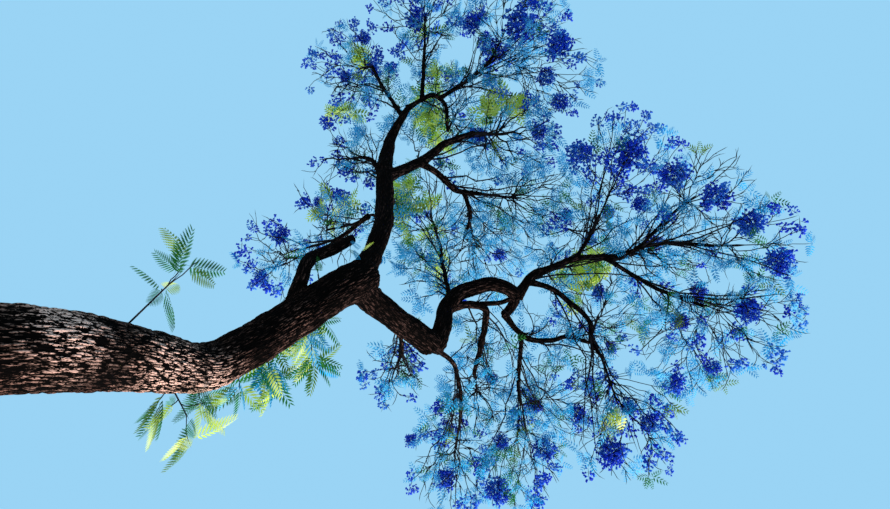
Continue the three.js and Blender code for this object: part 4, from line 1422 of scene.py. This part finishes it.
@dataclass
class Crown:
    """The twigs, leaves and blossom of all masses."""

    wood: Wood
    growth: GrowthRule = GrowthRule()
    sprays: SprayRule = SprayRule()
    spurs: SpurRule = SpurRule()
    strands: StrandRule = StrandRule()
    frond: FrondShape = FrondShape()
    shoot_frond: FrondShape = FrondShape(
        pairs=11, pinna=0.3, leaflets=9, leaflet=0.12, leaflet_half=0.5, leaflet_rib=0.05, droop=0.3)
    young_frond: FrondShape = FrondShape(pinna=0.4, pinna_half=0.17)
    high_frond: FrondShape = FrondShape(pairs=9, pinna=0.3, pinna_half=0.13, droop=0.3)
    panicle: PanicleShape = PanicleShape()

    def __post_init__(self) -> None:
        """Prepares the masses, the templates and the bundles."""
        limbs = self.wood.limbs
        pieces = [limb.capsules() for limb in limbs.values()]
        self.bark = tuple(np.concatenate(values) for values in zip(*pieces))
        self.openings = tuple(np.array(values) for values in zip(*OPENINGS))
        stout = self.bark[2] > self.sprays.bare_girth
        self.stout = tuple(values[stout] for values in self.bark)
        self.masses = [Mass(plan, seed, limbs[plan.on], self.growth) for seed, plan in enumerate(MASSES)]
        self.crown = [mass for mass in self.masses if not mass.on_trunk]
        for mass in self.crown:
            for other in self.crown:
                if other is not mass and other.plan.on == mass.plan.on:
                    mass.share_tip_with(other)
        leans = np.linspace(-self.sprays.lean, self.sprays.lean, self.sprays.variants)
        self.fronds, self.young_fronds, self.shoot_fronds, self.high_fronds = (
            [shape.template(lean) for lean in leans]
            for shape in (self.frond, self.young_frond, self.shoot_frond, self.high_frond)
        )
        self.panicles = [self.panicle.templates(seed) for seed in range(self.sprays.panicle_variants)]
        self.twig_bundle = Bundle(Piece.TWIGS, "bark", [TwigFinish().material()])
        leaves = [LEAF_FINISHES[tone].material() for tone in Tone]
        self.leaf_bundle = Bundle(Piece.LEAVES, "foliage", leaves)
        petals = [finish.material() for finish in PETAL_FINISHES]
        self.blossom_bundle = Bundle(Piece.BLOSSOM, "foliage", petals)

    def build(self) -> None:
        """Grows every mass, and makes its twigs, leaves and blossom."""
        for mass in self.masses:
            near = [
                other for other in self.masses if other is not mass
                and np.linalg.norm(other.middle - mass.middle) < other.plan.radius + mass.plan.radius
            ]
            mass.grow(near, self.bark, self.openings)
            self.add_twigs(mass)
            self.add_sprays(mass)
            if not mass.on_trunk:
                self.add_strands(mass)
            LOG.info("%s: %d twigs, %d ends", mass.plan.name, len(mass.twigs), len(mass.tips))
        for number, limb in enumerate(self.wood.limbs.values()):
            if max(limb.plan.girth) < self.spurs.most_girth:
                self.add_spurs(limb, number)
        for number, reach in enumerate(REACHES):
            limb, end = self.wood.limbs[reach.limb], np.array(reach.end)
            mass = min(self.masses, key=lambda mass: float(mass.power(end)))
            random = Chances.REACHES.drawn(number)
            self.add_branches(mass, limb, np.array([reach.at]), end[None], self.strands.reach_leafy, random)
        for number, sprig in enumerate(SPRIGS):
            self.add_sprig(sprig, number)
        self.add_blooms()
        for bundle in (self.twig_bundle, self.leaf_bundle, self.blossom_bundle):
            bundle.build()

    def host(self, limb: Limb) -> Mass:
        """The mass that a limb's own twigs belong to: the nearest one to the middle of the limb."""
        middle = limb.curve.at(0.5)[0]
        return min(self.crown, key=lambda mass: float(np.linalg.norm(mass.middle - middle)))

    def add_tubes(self, mass: Mass, lines: Array, thick: Array, thin: Array, sides: int) -> None:
        """Adds tapering tubes along lines to a mass's twigs."""
        self.twig_bundle.put(mass, *tubes(lines, thick, thin, sides))

    def add_spurs(self, limb: Limb, seed: int) -> None:
        """Adds forked side twigs along a limb.

        Args:
            limb: The limb.
            seed: The limb's number.
        """
        rule = self.spurs
        random = Chances.SPURS.drawn(seed)
        shares = np.linspace(rule.first, rule.last, max(2, round(limb.length / rule.apart)))
        starts, firsts, seconds = limb.frames(shares)
        turns = GOLDEN_ANGLE * np.arange(len(shares)) + seed
        outward = around(turns, firsts, seconds)
        ways = unit(limb.curve.heading(shares) * rule.lean + outward + rule.rise * UP)
        sizes = random.uniform(*rule.length, len(shares))
        thick = np.minimum(rule.thick, rule.thick_share * limb.radius(shares))
        self.add_side_twigs(self.host(limb), starts, ways, sizes, thick, rule.forks, rule.leafy, random)

    def add_strands(self, mass: Mass) -> None:
        """Adds long slender branches from along the limb to some of the mass's ends, with side twigs.

        Args:
            mass: The mass, grown.
        """
        rule = self.strands
        random = Chances.STRANDS.drawn(mass.seed)
        limb, span = mass.limb, rule.along
        if limb.length < rule.shortest and limb.parent.parent is not None:
            limb, span = limb.parent, (rule.back * mass.limb.plan.at, mass.limb.plan.at)
        shares = random.uniform(*span, rule.count)
        ends = np.array([mass.twigs[tip].line[-1] for tip in random.choice(mass.tips, rule.count)])
        self.add_branches(mass, limb, shares, ends, self.spurs.leafy, random)

    def add_branches(self, mass: Mass, limb: Limb, shares: Array, ends: Array, leafy: float,
                     random: Random) -> None:
        """Adds long slender branches from along a limb.

        Args:
            mass: The mass that they count as.
            limb: The limb.
            shares: How far along it each one starts.
            ends: Where each one ends.
            leafy: The share of their side twigs that is in leaf.
            random: The chances to use.
        """
        rule = self.strands
        starts, headings = limb.curve.at(shares), limb.curve.heading(shares)
        sizes = np.linalg.norm(ends - starts, axis=1)
        knees = starts + rule.bend * sizes[:, None] * unit(rule.follow * headings + unit(ends - starts))
        along = np.linspace(0, 1, rule.knots)[None, :, None]
        back = 1 - along
        lines = back**2 * starts[:, None] + 2 * along * back * knees[:, None] + along**2 * ends[:, None]
        spots = (lines / rule.waver_length).reshape(-1, 3)
        stray = np.array([noise.noise_vector(Vector(spot)) for spot in spots]).reshape(lines.shape)
        lines += rule.waver * sizes[:, None, None] * stray * np.sin(math.pi * along)
        thick = np.minimum(rule.thick, rule.thick_share * limb.radius(shares))
        self.add_tubes(mass, lines, thick, np.full(len(lines), rule.thin), rule.sides)
        for line, size in zip(lines, sizes):
            count = max(1, round((1 - rule.side_first) * size / rule.side_apart))
            spots = np.linspace(rule.side_first, 1, count, endpoint=False) * (rule.knots - 1)
            roots = np.array([np.interp(spots, np.arange(rule.knots), line[:, k]) for k in range(3)]).T
            ahead = unit(np.gradient(line, axis=0))[spots.astype(int)]
            ways = unit(ahead + unit(random.normal(size=ahead.shape)))
            reach, thick = random.uniform(*rule.side, count), np.full(count, rule.thin)
            self.add_side_twigs(mass, roots, ways, reach, thick, rule.forks, leafy, random)

    def add_side_twigs(self, mass: Mass, starts: Array, ways: Array, sizes: Array,
                       thick: Array, forks: int, leafy: float, random: Random) -> None:
        """Adds side twigs that fork, some of them with leaves at the end.

        Args:
            mass: The mass that they count as.
            starts: Where they start.
            ways: Which way they start out.
            sizes: Their lengths.
            thick: Their radii at the start.
            forks: How many times they fork.
            leafy: The share of them that is in leaf.
            random: The chances to use.
        """
        rule = self.spurs
        for fork in range(forks + 1):
            lines = self.wavering(starts, ways, sizes, random)
            self.add_tubes(mass, lines, thick, rule.taper * thick, self.growth.sides)
            for line in lines[random.random(len(lines)) < leafy]:
                self.add_fronds(mass, line, rule.whorl, self.sprays.frond, self.fronds, random)
            starts = lines[:, rule.fork_at + fork]
            sizes, thick = sizes * rule.fork_length, thick * rule.fork_thick
            ways = unit(ways + rule.fork_turn * random.normal(size=ways.shape))

    def add_sprig(self, sprig: Sprig, seed: int) -> None:
        """Adds a leafy shoot straight out of the trunk.

        Args:
            sprig: Where and how it grows.
            seed: Its number.
        """
        rule, trunk, random = self.sprays, self.wood.limbs["trunk"], Chances.SPRIGS.drawn(seed)
        mass = next(mass for mass in self.masses if mass.plan.name == sprig.beside)
        way = unit(np.array(sprig.way))
        foot = trunk.curve.at(sprig.at) + way * trunk.radius_at(sprig.at) * rule.sprig_depth
        lines = self.wavering(foot, way[None], np.array([rule.sprig_length]), random)
        thick, thin = np.array(rule.sprig_radii)[:, None]
        self.add_tubes(mass, lines, thick, thin, self.strands.sides)
        numbers = (sprig.fronds, sprig.fronds + 1)
        self.add_fronds(mass, lines[0], numbers, sprig.sizes, self.shoots(mass), random)

    def is_high(self, mass: Mass) -> bool:
        """Whether a shoot is high on the trunk, where the fronds are plainer and bluer."""
        return mass.middle[2] > self.sprays.high_shoots

    def shoots(self, mass: Mass) -> list[Template]:
        """The fronds of a shoot: finely feathered low on the trunk, plainer higher up."""
        return self.high_fronds if self.is_high(mass) else self.shoot_fronds

    def wavering(self, starts: Array, ways: Array, sizes: Array, random: Random) -> Array:
        """Lines that start out one way and waver as they go."""
        shares = np.linspace(0, 1, self.growth.knots)[None, :, None]
        lines = starts[:, None] + ways[:, None] * sizes[:, None, None] * shares
        stray = random.normal(size=lines.shape).cumsum(axis=1) * (shares > 0)
        return lines + self.spurs.waver * sizes[:, None, None] * stray

    def add_twigs(self, mass: Mass) -> None:
        """Adds a mass's own twigs, the thick ones with more sides."""
        thick = np.array([twig.thick for twig in mass.twigs])
        thin = np.array([twig.thin for twig in mass.twigs])
        lines = np.array([twig.line for twig in mass.twigs])
        stout = thick > self.growth.stout
        for chosen, sides in ((stout, self.growth.stout_sides), (~stout, self.growth.sides)):
            if chosen.any():
                self.add_tubes(mass, lines[chosen], thick[chosen], thin[chosen], sides)

    def in_blossom(self, mass: Mass, end: Array) -> bool:
        """Whether the twig that ends here is in one of the mass's own clumps of blossom."""
        wander = noise.noise(Vector(end / self.sprays.blossom_clump) + Vector((mass.seed, 0, 0)))
        return wander < self.sprays.blossom_span * mass.plan.blossom - self.sprays.blossom_least

    def add_sprays(self, mass: Mass) -> None:
        """Adds leaves or blossom to each end of a mass's twigs.

        Args:
            mass: The mass, grown.
        """
        rule, random = self.sprays, Chances.SPRAYS.drawn(mass.seed)
        for number in mass.tips:
            twig = mass.twigs[number]
            end, heading = twig.line[-1], unit(twig.line[-1] - twig.line[-2])
            if mass.on_trunk:
                least, most = (round(mass.plan.full * count) for count in rule.shoot_fronds)
                self.add_fronds(mass, twig.line, (least, most), rule.shoot_frond, self.shoots(mass), random)
                continue
            if in_patches(end, YOUNG_PATCHES):
                sizes = rule.young_frond
                self.add_fronds(mass, twig.line, rule.young_whorl, sizes, self.young_fronds, random)
                continue
            if in_patches(end, BLOSSOM_PATCHES):
                continue
            blossom = self.in_blossom(mass, end)
            if blossom:
                self.add_panicles(mass, end, heading, random)
            clump = 0.5 + 0.5 * noise.noise(Vector(end / rule.clump) + Vector((0, 0, mass.seed)))
            leafy = clump > rule.leaf_least - rule.leaf_span * mass.plan.leaf
            if leafy and not (blossom and random.random() < rule.blossom_alone):
                self.add_fronds(mass, twig.line, rule.whorl, rule.frond, self.fronds, random)

    def tones(self, mass: Mass, end: Array, count: int, random: Random) -> Array:
        """The numbers of the leaf colours for the fronds of a spray that ends here."""
        rule = self.sprays
        if mass.on_trunk:
            shares = rule.high_tones if self.is_high(mass) else rule.shoot_tones
            return random.choice(len(Tone), count, p=shares)
        if in_patches(end, YOUNG_PATCHES):
            return random.choice(len(Tone), count, p=rule.young_tones)
        return np.full(count, random.choice(len(Tone), p=rule.shares))

    def add_fronds(self, mass: Mass, line: Array, numbers: tuple[int, int], sizes: Span,
                   templates: Sequence[Template], random: Random) -> None:
        """Adds a whorl of fronds along the end of a twig.

        Args:
            mass: The mass that they count as.
            line: The twig that carries them.
            numbers: The least number of them, and one more than the greatest.
            sizes: The least and the greatest length, in metres.
            templates: The fronds to choose from.
            random: The mass's own chances.
        """
        rule = self.sprays
        count = int(random.integers(*numbers))
        end, heading = line[-1], unit(line[-1] - line[-2])
        if not mass.on_trunk and gap_to_lines(end[None], *self.stout)[0] < rule.bare:
            return
        back = line[1] if mass.on_trunk else line[-2]
        roots = end + np.linspace(0, 1, count)[:, None] ** rule.crowding * (back - end) * rule.span
        turns = GOLDEN_ANGLE * np.arange(count) + random.uniform(0, 2 * math.pi)
        first = unit(np.cross(heading, NEARLY_UP))
        outward = around(turns, first, np.cross(heading, first))
        spread, hang = (rule.shoot_spread, rule.shoot_hang) if mass.on_trunk else (rule.spread, rule.hang)
        headings = unit(heading + spread * outward - hang * UP)
        lengths = random.uniform(*sizes, count)
        tips = roots + headings * lengths[:, None]
        keep = np.full(count, mass.on_trunk) | (gap_to_lines(tips, *self.openings) > 0)
        if mass.power(end) < 0:
            out = mass.power(tips) > 0
            inward = unit(mass.middle - roots)
            headings[out] = unit(headings[out] + rule.inward * inward[out])
            tips = roots + headings * lengths[:, None]
            keep &= mass.power(tips) < rule.outside * mass.plan.radius**2
        by = np.linalg.norm(self.bark[0] - end, axis=1) < rule.bark_reach
        if by.any():
            spots = np.vstack([roots + headings * lengths[:, None] * part for part in rule.probes])
            clear = gap_to_lines(spots, *(values[by] for values in self.bark)) > rule.bark_clear
            keep &= clear.reshape(-1, count).all(0)
        tones = self.tones(mass, end, count, random)
        ups = UP + (rule.shoot_tilt if mass.on_trunk else rule.tilt) * random.normal(size=(count, 3))
        kinds = random.integers(len(templates), size=count)
        for kind, template in enumerate(templates):
            chosen = keep & (kinds == kind)
            corners = template.placed(roots[chosen], headings[chosen], ups[chosen], lengths[chosen])
            self.leaf_bundle.put(mass, corners, template.faces, tones[chosen])

    def add_panicles(self, mass: Mass, end: Array, heading: Array, random: Random) -> None:
        """Adds one or more panicles to the end of a twig.

        Args:
            mass: The mass.
            end: Where the twig ends.
            heading: Where it points there.
            random: The mass's own chances.
        """
        rule = self.sprays
        for number in range(int(random.integers(*rule.panicles))):
            spread = rule.panicle_spread + rule.panicle_spread * number
            aim = heading + spread * random.normal(size=3) + rule.panicle_lift * UP
            size = random.uniform(*rule.panicle)
            if mass.power(end + unit(aim) * size) > 0:
                aim = unit(aim) + unit(mass.middle - end)
            self.add_panicle(mass, end, aim, size, random)

    def add_panicle(self, mass: Mass, foot: Array, aim: Array, size: float, random: Random) -> None:
        """Adds one panicle, with its stalks among the twigs and its florets among the blossom."""
        stalks, florets = self.panicles[int(random.integers(len(self.panicles)))]
        up = UP + random.normal(size=3) * self.sprays.panicle_tilt
        where = (foot[None], aim[None], up[None], np.array([size]))
        tone = int(random.integers(len(PETAL_FINISHES)))
        self.blossom_bundle.put(mass, florets.placed(*where), florets.faces, np.array([tone]))
        self.twig_bundle.put(mass, stalks.placed(*where), stalks.faces)

    def add_blooms(self) -> None:
        """Adds a ball of panicles in the middle of each blossom patch, on a twig from the nearest end."""
        rule, radius = self.sprays, np.array([self.growth.twig_radius])
        for number, patch in enumerate(BLOSSOM_PATCHES):
            random = Chances.BLOOMS.drawn(number)
            middle = np.array(patch.middle)
            mass = min(self.crown, key=lambda mass: float(mass.power(middle)))
            ends = np.array([mass.twigs[tip].line[-1] for tip in mass.tips])
            nearest = ends[np.argmin(np.linalg.norm(ends - middle, axis=1))]
            line = np.linspace(nearest, middle, self.growth.knots)[None]
            self.add_tubes(mass, line, radius, radius, self.growth.sides)
            for turn in range(rule.bloom_panicles):
                way = mass.direction(turn, rule.bloom_panicles)
                size = patch.radius * random.uniform(*rule.bloom_size)
                aim = way + rule.bloom_spread * random.normal(size=3)
                self.add_panicle(mass, middle, aim, size, random)


def opaque(colour: Colour) -> tuple[float, float, float, float]:
    """A colour with a full alpha."""
    return (*colour, 1.0)


@dataclass(frozen=True)
class Looks:
    """A tree of shader nodes, and the material that it belongs to."""

    tree: bpy.types.NodeTree
    material: bpy.types.Material | None = None

    @staticmethod
    def of(name: str) -> "Looks":
        """A new material's tree, empty."""
        material = bpy.data.materials.new(name)
        material.use_nodes = True
        material.node_tree.nodes.clear()
        return Looks(material.node_tree, material)

    def add(self, kind: str, inputs: dict[str | int, Input] | None = None, **settings: object) -> Socket:
        """Adds a node.

        Args:
            kind: The node's type, without its first word.
            inputs: Its inputs: each a value, or the socket that feeds it.
            **settings: Its other properties.

        Returns:
            The node's first output.
        """
        return self.node(kind, inputs, **settings).outputs[0]

    def node(self, kind: str, inputs: dict[str | int, Input] | None = None,
             **settings: object) -> bpy.types.Node:
        """Adds a node, as `add` does, and gives the node itself."""
        made = self.tree.nodes.new(f"ShaderNode{kind}")
        for name, value in settings.items():
            setattr(made, name, value)
        for name, value in (inputs or {}).items():
            if isinstance(value, Socket):
                self.tree.links.new(value, made.inputs[name])
            else:
                made.inputs[name].default_value = value
        return made

    def place(self) -> Socket:
        """The object's own coordinates."""
        return self.node("TexCoord").outputs["Object"]

    def spread(self, value: Socket, given: tuple[Input, Input] = (0, 1), wanted: Span = (0, 1)) -> Socket:
        """A value, clamped, with one span of it laid over another."""
        (low, high), (start, end) = given, wanted
        return self.add("MapRange", {"Value": value, "From Min": low, "From Max": high, "To Min": start,
                                     "To Max": end})

    def math(self, operation: str, first: Input, second: Input, **settings: object) -> Socket:
        """One operation on two values."""
        return self.add("Math", {0: first, 1: second}, operation=operation, **settings)

    def mixed(self, share: Socket, dark: Input, light: Input) -> Socket:
        """A colour between two."""
        return self.add("MixRGB", {"Fac": share, "Color1": dark, "Color2": light})

    def mottled(self, place: Socket, scale: float, dark: Colour, light: Colour) -> bpy.types.Node:
        """The shared effect of a colour that wanders between two."""
        inputs = {"Vector": place, "Scale": scale, "Dark": opaque(dark), "Light": opaque(light)}
        return self.node("Group", inputs, node_tree=mottle_group())

    def finished(self, shader: Socket) -> bpy.types.Material:
        """Joins the last shader to the material's output, and gives the material."""
        self.node("OutputMaterial", {"Surface": shader})
        return self.material


MOTTLE_DETAIL = 3.0
MOTTLE_SPAN = (0.35, 0.65)


def mottle_group() -> bpy.types.NodeTree:
    """The node group of the shared effect, made when it is first asked for."""
    if "mottle" in bpy.data.node_groups:
        return bpy.data.node_groups["mottle"]
    group = bpy.data.node_groups.new("mottle", "ShaderNodeTree")
    for name, kind in (("Vector", "Vector"), ("Scale", "Float"), ("Dark", "Color"), ("Light", "Color")):
        group.interface.new_socket(name, in_out="INPUT", socket_type=f"NodeSocket{kind}")
    for name, kind in (("Colour", "Color"), ("Mask", "Float")):
        group.interface.new_socket(name, in_out="OUTPUT", socket_type=f"NodeSocket{kind}")
    looks, given = Looks(group), group.nodes.new("NodeGroupInput").outputs
    inputs = {"Vector": given["Vector"], "Scale": given["Scale"], "Detail": MOTTLE_DETAIL}
    mask = looks.spread(looks.add("TexNoise", inputs), MOTTLE_SPAN)
    out = group.nodes.new("NodeGroupOutput").inputs
    group.links.new(looks.mixed(mask, given["Dark"], given["Light"]), out["Colour"])
    group.links.new(mask, out["Mask"])
    return group


@dataclass(frozen=True)
class BarkFinish:
    """Corky ridges of a pinkish brown, older and paler in patches low down, over nearly black furrows, with
    painted light and shade.
    """

    # The furrows' near-black colour is partly the bark's own darker fissures and partly painted shade in the
    # recesses.
    furrow: Colour = (0.0022, 0.0014, 0.0012)
    ridge_dark: Colour = (0.050, 0.024, 0.019)
    ridge_light: Colour = (0.190, 0.095, 0.074)
    # Older, paler ridges low on the trunk, below about 7 m: partly the bark's own age, partly painted light
    # where the sun falls on the lower trunk.
    ridge_old_and_lit: Colour = (0.50, 0.23, 0.165)
    old_and_lit_below: Span = (7.3, 5.3)
    old_and_lit_least: float = 0.06
    # Painted light: pale pink spots on the trunk that stand in for patches of sunlight.
    painted_light: Colour = (0.99, 0.56, 0.43)
    painted_light_spots: tuple[tuple[Place, float], ...] = (
        ((0.22, -0.2, 5.0), 0.7), ((-0.22, -0.46, 3.95), 0.56), ((0.5, 0.15, 5.5), 0.52))
    painted_light_core: float = 0.25
    painted_light_top: float = 0.2
    shown_from: float = 0.12
    # Painted shade: the ridges darken on the side of the trunk and the boughs that faces −X, away from the
    # key light, from about 4.2 to 4.7 m up and above.
    shade_side: Place = (-1.0, 0.3, 0.0)
    shade_facing: Span = (-0.2, 0.5)
    painted_shade: float = 0.75
    shade_above: Span = (4.2, 4.7)
    crest: Span = (0.1, 0.7)
    patch_scale: float = 2.6
    grains: Place = (76.0, 76.0, 22.0)
    grain_span: Span = (0.41, 0.58)
    grain_detail: float = 2.5
    grain_roughness: float = 0.6
    crook: float = 1.5
    fibres: Place = (1.0, 1.0, 0.22)
    fibre_scale: float = 45.0
    fibre_detail: float = 4.0
    fibre_span: Span = (0.3, 0.7)
    fibre_worn: Span = (0.55, 1.25)
    fibre_depth: float = 0.005
    fibre_strength: float = 0.7
    roughness: float = 0.9
    gloss: float = 0.02

    def material(self) -> bpy.types.Material:
        """Makes the bark's material: how worn it is, then its colour, then its fine relief."""
        looks = Looks.of("bark_relief")
        place = looks.place()
        ridge = looks.node("Attribute", attribute_name="ridge").outputs["Fac"]
        grown = looks.node("Attribute", attribute_name="grown").outputs["Vector"]
        stretched = looks.add("Mapping", {"Vector": grown, "Scale": self.fibres})
        fibre = looks.add("TexNoise", {"Vector": stretched, "Scale": self.fibre_scale,
                                       "Detail": self.fibre_detail})
        narrow = looks.add("Mapping", {"Vector": grown, "Scale": self.grains})
        grain = looks.add("TexNoise", {"Vector": narrow, "Scale": 1.0, "Detail": self.grain_detail,
                                       "Roughness": self.grain_roughness, "Distortion": self.crook})
        worn = looks.spread(fibre, self.fibre_span, self.fibre_worn)
        rough = looks.math("MULTIPLY", looks.spread(grain, self.grain_span), worn)
        lift = looks.math("MULTIPLY", looks.spread(ridge, self.crest), rough, use_clamp=True)
        # The ridge colour, with painted light low on the trunk and in the painted spots of sunlight.
        colour, top = self.colours(looks, place)
        # The ridge colour shows with the ridges' lift, and less in the painted shade on the −X side.
        shown = looks.math("MULTIPLY", looks.spread(lift, (self.shown_from, top)), self.unshaded_share(looks, place))
        bump = looks.add("Bump", {"Height": rough, "Distance": self.fibre_depth,
                                  "Strength": self.fibre_strength})
        # Ridges get the ridge colour, and furrows the near-black one, which is partly painted shade in the
        # recesses.
        return looks.finished(looks.add("BsdfPrincipled", {
            "Base Color": looks.mixed(shown, opaque(self.furrow), colour), "Roughness": self.roughness,
            "Specular IOR Level": self.gloss, "Normal": bump}))

    def colours(self, looks: Looks, place: Socket) -> tuple[Socket, Socket]:
        """The colour of the ridges, older and paler low down, partly as painted light, and with painted spots
        of sunlight.

        Args:
            looks: The material's tree.
            place: The object's own coordinates.

        Returns:
            The colour, and how much lift shows it in full, which is less in the painted spots of sunlight.
        """
        plates = looks.mottled(place, self.patch_scale, self.ridge_dark, self.ridge_light).outputs
        # Older, paler ridges low down: partly the bark's own age, partly painted light on the lower trunk.
        age_and_light = looks.spread(self.height(looks, place), self.old_and_lit_below)
        patches = looks.math("MULTIPLY", age_and_light, looks.spread(plates["Mask"], wanted=(self.old_and_lit_least, 1)))
        colour, spots = looks.mixed(patches, plates["Colour"], opaque(self.ridge_old_and_lit)), 0.0
        # Painted light: each spot blends the ridges towards a pale pink that stands in for sunlight on the
        # trunk.
        for middle, radius in self.painted_light_spots:
            away = looks.node("VectorMath", {0: place, 1: middle}, operation="DISTANCE").outputs["Value"]
            near = looks.spread(away, (radius, radius * self.painted_light_core))
            colour = looks.mixed(near, colour, opaque(self.painted_light))
            spots = looks.math("MAXIMUM", near, spots)
        return colour, looks.spread(spots, wanted=(1, self.painted_light_top))

    @staticmethod
    def height(looks: Looks, place: Socket) -> Socket:
        """The height of a place."""
        return looks.node("SeparateXYZ", {"Vector": place}).outputs["Z"]

    def unshaded_share(self, looks: Looks, place: Socket) -> Socket:
        """How much of the ridge colour shows: less in the painted shade on the side of the trunk and the
        boughs that faces −X, away from the key light, high up.
        """
        normal = looks.node("NewGeometry").outputs["Normal"]
        side = looks.node("VectorMath", {0: normal, 1: self.shade_side}, operation="DOT_PRODUCT")
        painted_shade = looks.spread(side.outputs["Value"], self.shade_facing, (0, self.painted_shade))
        above = looks.spread(self.height(looks, place), self.shade_above)
        return looks.math("SUBTRACT", 1.0, looks.math("MULTIPLY", painted_shade, above))


@dataclass(frozen=True)
class TwigFinish:
    """Smooth dark twigs, mottled a little redder in places."""

    dark: Colour = (0.004, 0.004, 0.006)
    light: Colour = (0.024, 0.018, 0.018)
    scale: float = 9.0
    grain_scale: float = 120.0
    grain_depth: float = 0.001
    roughness: float = 0.8
    gloss: float = 0.03

    def material(self) -> bpy.types.Material:
        """Makes the twigs' material."""
        looks = Looks.of("twig")
        place = looks.place()
        colour = looks.mottled(place, self.scale, self.dark, self.light).outputs["Colour"]
        grain = looks.add("TexNoise", {"Vector": place, "Scale": self.grain_scale})
        bump = looks.add("Bump", {"Height": grain, "Distance": self.grain_depth})
        return looks.finished(looks.add("BsdfPrincipled", {
            "Base Color": colour, "Roughness": self.roughness, "Specular IOR Level": self.gloss,
            "Normal": bump}))


@dataclass(frozen=True)
class ThinFinish:
    """A thin leaf or petal that lets some light through."""

    name: str
    dark: Colour
    light: Colour
    through: float
    roughness: float
    scale: float = 5.0
    vein_scale: float = 70.0
    vein_detail: float = 2.0
    vein_depth: float = 0.002
    vein_strength: float = 0.5

    def material(self) -> bpy.types.Material:
        """Makes the material: a gloss shader mixed with one that glows with the light behind."""
        looks = Looks.of(self.name)
        place = looks.place()
        colour = looks.mottled(place, self.scale, self.dark, self.light).outputs["Colour"]
        veins = looks.add("TexNoise", {"Vector": place, "Scale": self.vein_scale,
                                       "Detail": self.vein_detail})
        bump = looks.add("Bump", {"Height": veins, "Distance": self.vein_depth,
                                  "Strength": self.vein_strength})
        face = looks.add("BsdfPrincipled", {"Base Color": colour, "Roughness": self.roughness,
                                            "Normal": bump})
        glow = looks.add("BsdfTranslucent", {"Color": colour})
        return looks.finished(looks.add("MixShader", {0: self.through, 1: face, 2: glow}))


LEAF_FINISHES = {
    Tone.TEAL: ThinFinish("leaf_teal", (0.012, 0.290, 0.570), (0.050, 0.520, 0.860), 0.75, 0.5),
    Tone.GREEN: ThinFinish("leaf_green", (0.008, 0.130, 0.020), (0.060, 0.310, 0.045), 0.55, 0.5),
    Tone.GREY: ThinFinish("leaf_grey", (0.070, 0.420, 0.720), (0.190, 0.670, 0.940), 0.75, 0.55),
    Tone.YOUNG: ThinFinish("leaf_young", (0.680, 0.820, 0.060), (0.990, 0.990, 0.300), 0.75, 0.45),
    Tone.OLIVE: ThinFinish("leaf_olive", (0.070, 0.170, 0.014), (0.330, 0.450, 0.045), 0.55, 0.45),
}

PETAL_FINISHES = (
    ThinFinish("petal_deep", (0.012, 0.110, 0.880), (0.025, 0.190, 0.970), 0.65, 0.5),
    ThinFinish("petal_mid", (0.030, 0.200, 0.950), (0.055, 0.330, 0.990), 0.65, 0.5),
    ThinFinish("petal_pale", (0.070, 0.360, 0.970), (0.130, 0.520, 0.990), 0.65, 0.5),
)


@dataclass(frozen=True)
class Viewpoint:
    """Where the photograph was taken from, in metres and degrees, and its size in pixels."""

    place: Place = (-0.92, -5.5, 1.6)
    elevation: float = 52.3
    roll: float = 4.8
    focal: float = 713.0
    width: int = 890
    sensor: float = 36.0
    far: float = 200.0

    def build(self) -> None:
        """Makes the scene's camera, held on its side and looking up into the crown."""
        rise, roll = math.radians(self.elevation), math.radians(self.roll)
        forward = Vector((0, math.cos(rise), math.sin(rise)))
        over = Vector((0, -math.sin(rise), math.cos(rise)))
        east = Vector((1, 0, 0))
        right = math.cos(roll) * over - math.sin(roll) * east
        up = -math.sin(roll) * over - math.cos(roll) * east
        data = bpy.data.cameras.new("camera")
        data.sensor_width = self.sensor
        data.lens = self.sensor * self.focal / self.width
        data.clip_end = self.far
        camera = linked("camera", data)
        turned = Matrix((right, up, -forward)).transposed().to_4x4()
        camera.matrix_world = Matrix.Translation(self.place) @ turned
        bpy.context.scene.camera = camera


@dataclass(frozen=True)
class Studio:
    """A plain pale floor, a plain sky that lights it from all round, and one soft light."""

    floor_size: float = 400.0
    floor_colour: Colour = (0.50, 0.50, 0.50)
    floor_scale: float = 0.8
    floor_roughness: Span = (0.7, 0.9)
    sky: Colour = (0.34, 0.69, 0.96)
    sky_strength: float = 0.95
    key: Place = (0.85, -0.55, 0.35)
    key_strength: float = 4.8
    key_softness: float = 15.0
    key_colour: Colour = (1.0, 0.93, 0.86)

    def build(self) -> None:
        """Makes the floor, the sky and the light."""
        bm = bmesh.new()
        bmesh.ops.create_grid(bm, x_segments=1, y_segments=1, size=self.floor_size)
        mesh = mesh_from(bm, "floor")
        looks = Looks.of("floor")
        wander = looks.add("TexNoise", {"Vector": looks.place(), "Scale": self.floor_scale})
        rough = looks.spread(wander, (0, 1), self.floor_roughness)
        shader = looks.add("BsdfPrincipled", {"Base Color": opaque(self.floor_colour), "Roughness": rough})
        mesh.materials.append(looks.finished(shader))
        linked("floor", mesh)
        world = bpy.data.worlds.new("sky")
        world.use_nodes = True
        background = world.node_tree.nodes["Background"]
        background.inputs["Color"].default_value = opaque(self.sky)
        background.inputs["Strength"].default_value = self.sky_strength
        bpy.context.scene.world = world
        light = bpy.data.lights.new("key", "SUN")
        light.energy = self.key_strength
        light.angle = math.radians(self.key_softness)
        light.color = self.key_colour
        key = linked("key", light)
        key.rotation_mode = "QUATERNION"
        key.rotation_quaternion = Vector(self.key).to_track_quat("Z", "Y")
        bpy.context.scene.view_settings.view_transform = "Standard"


def main() -> None:
    """Builds the tree, the studio and the camera."""
    logging.basicConfig(level=logging.INFO, format="%(name)s: %(message)s")
    noise.seed_set(NOISE_SEED)
    wood = Wood(BarkFinish(), BarkRelief())
    wood.build()
    Crown(wood).build()
    Studio().build()
    Viewpoint().build()
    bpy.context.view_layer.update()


if __name__ == "__main__":
    main()
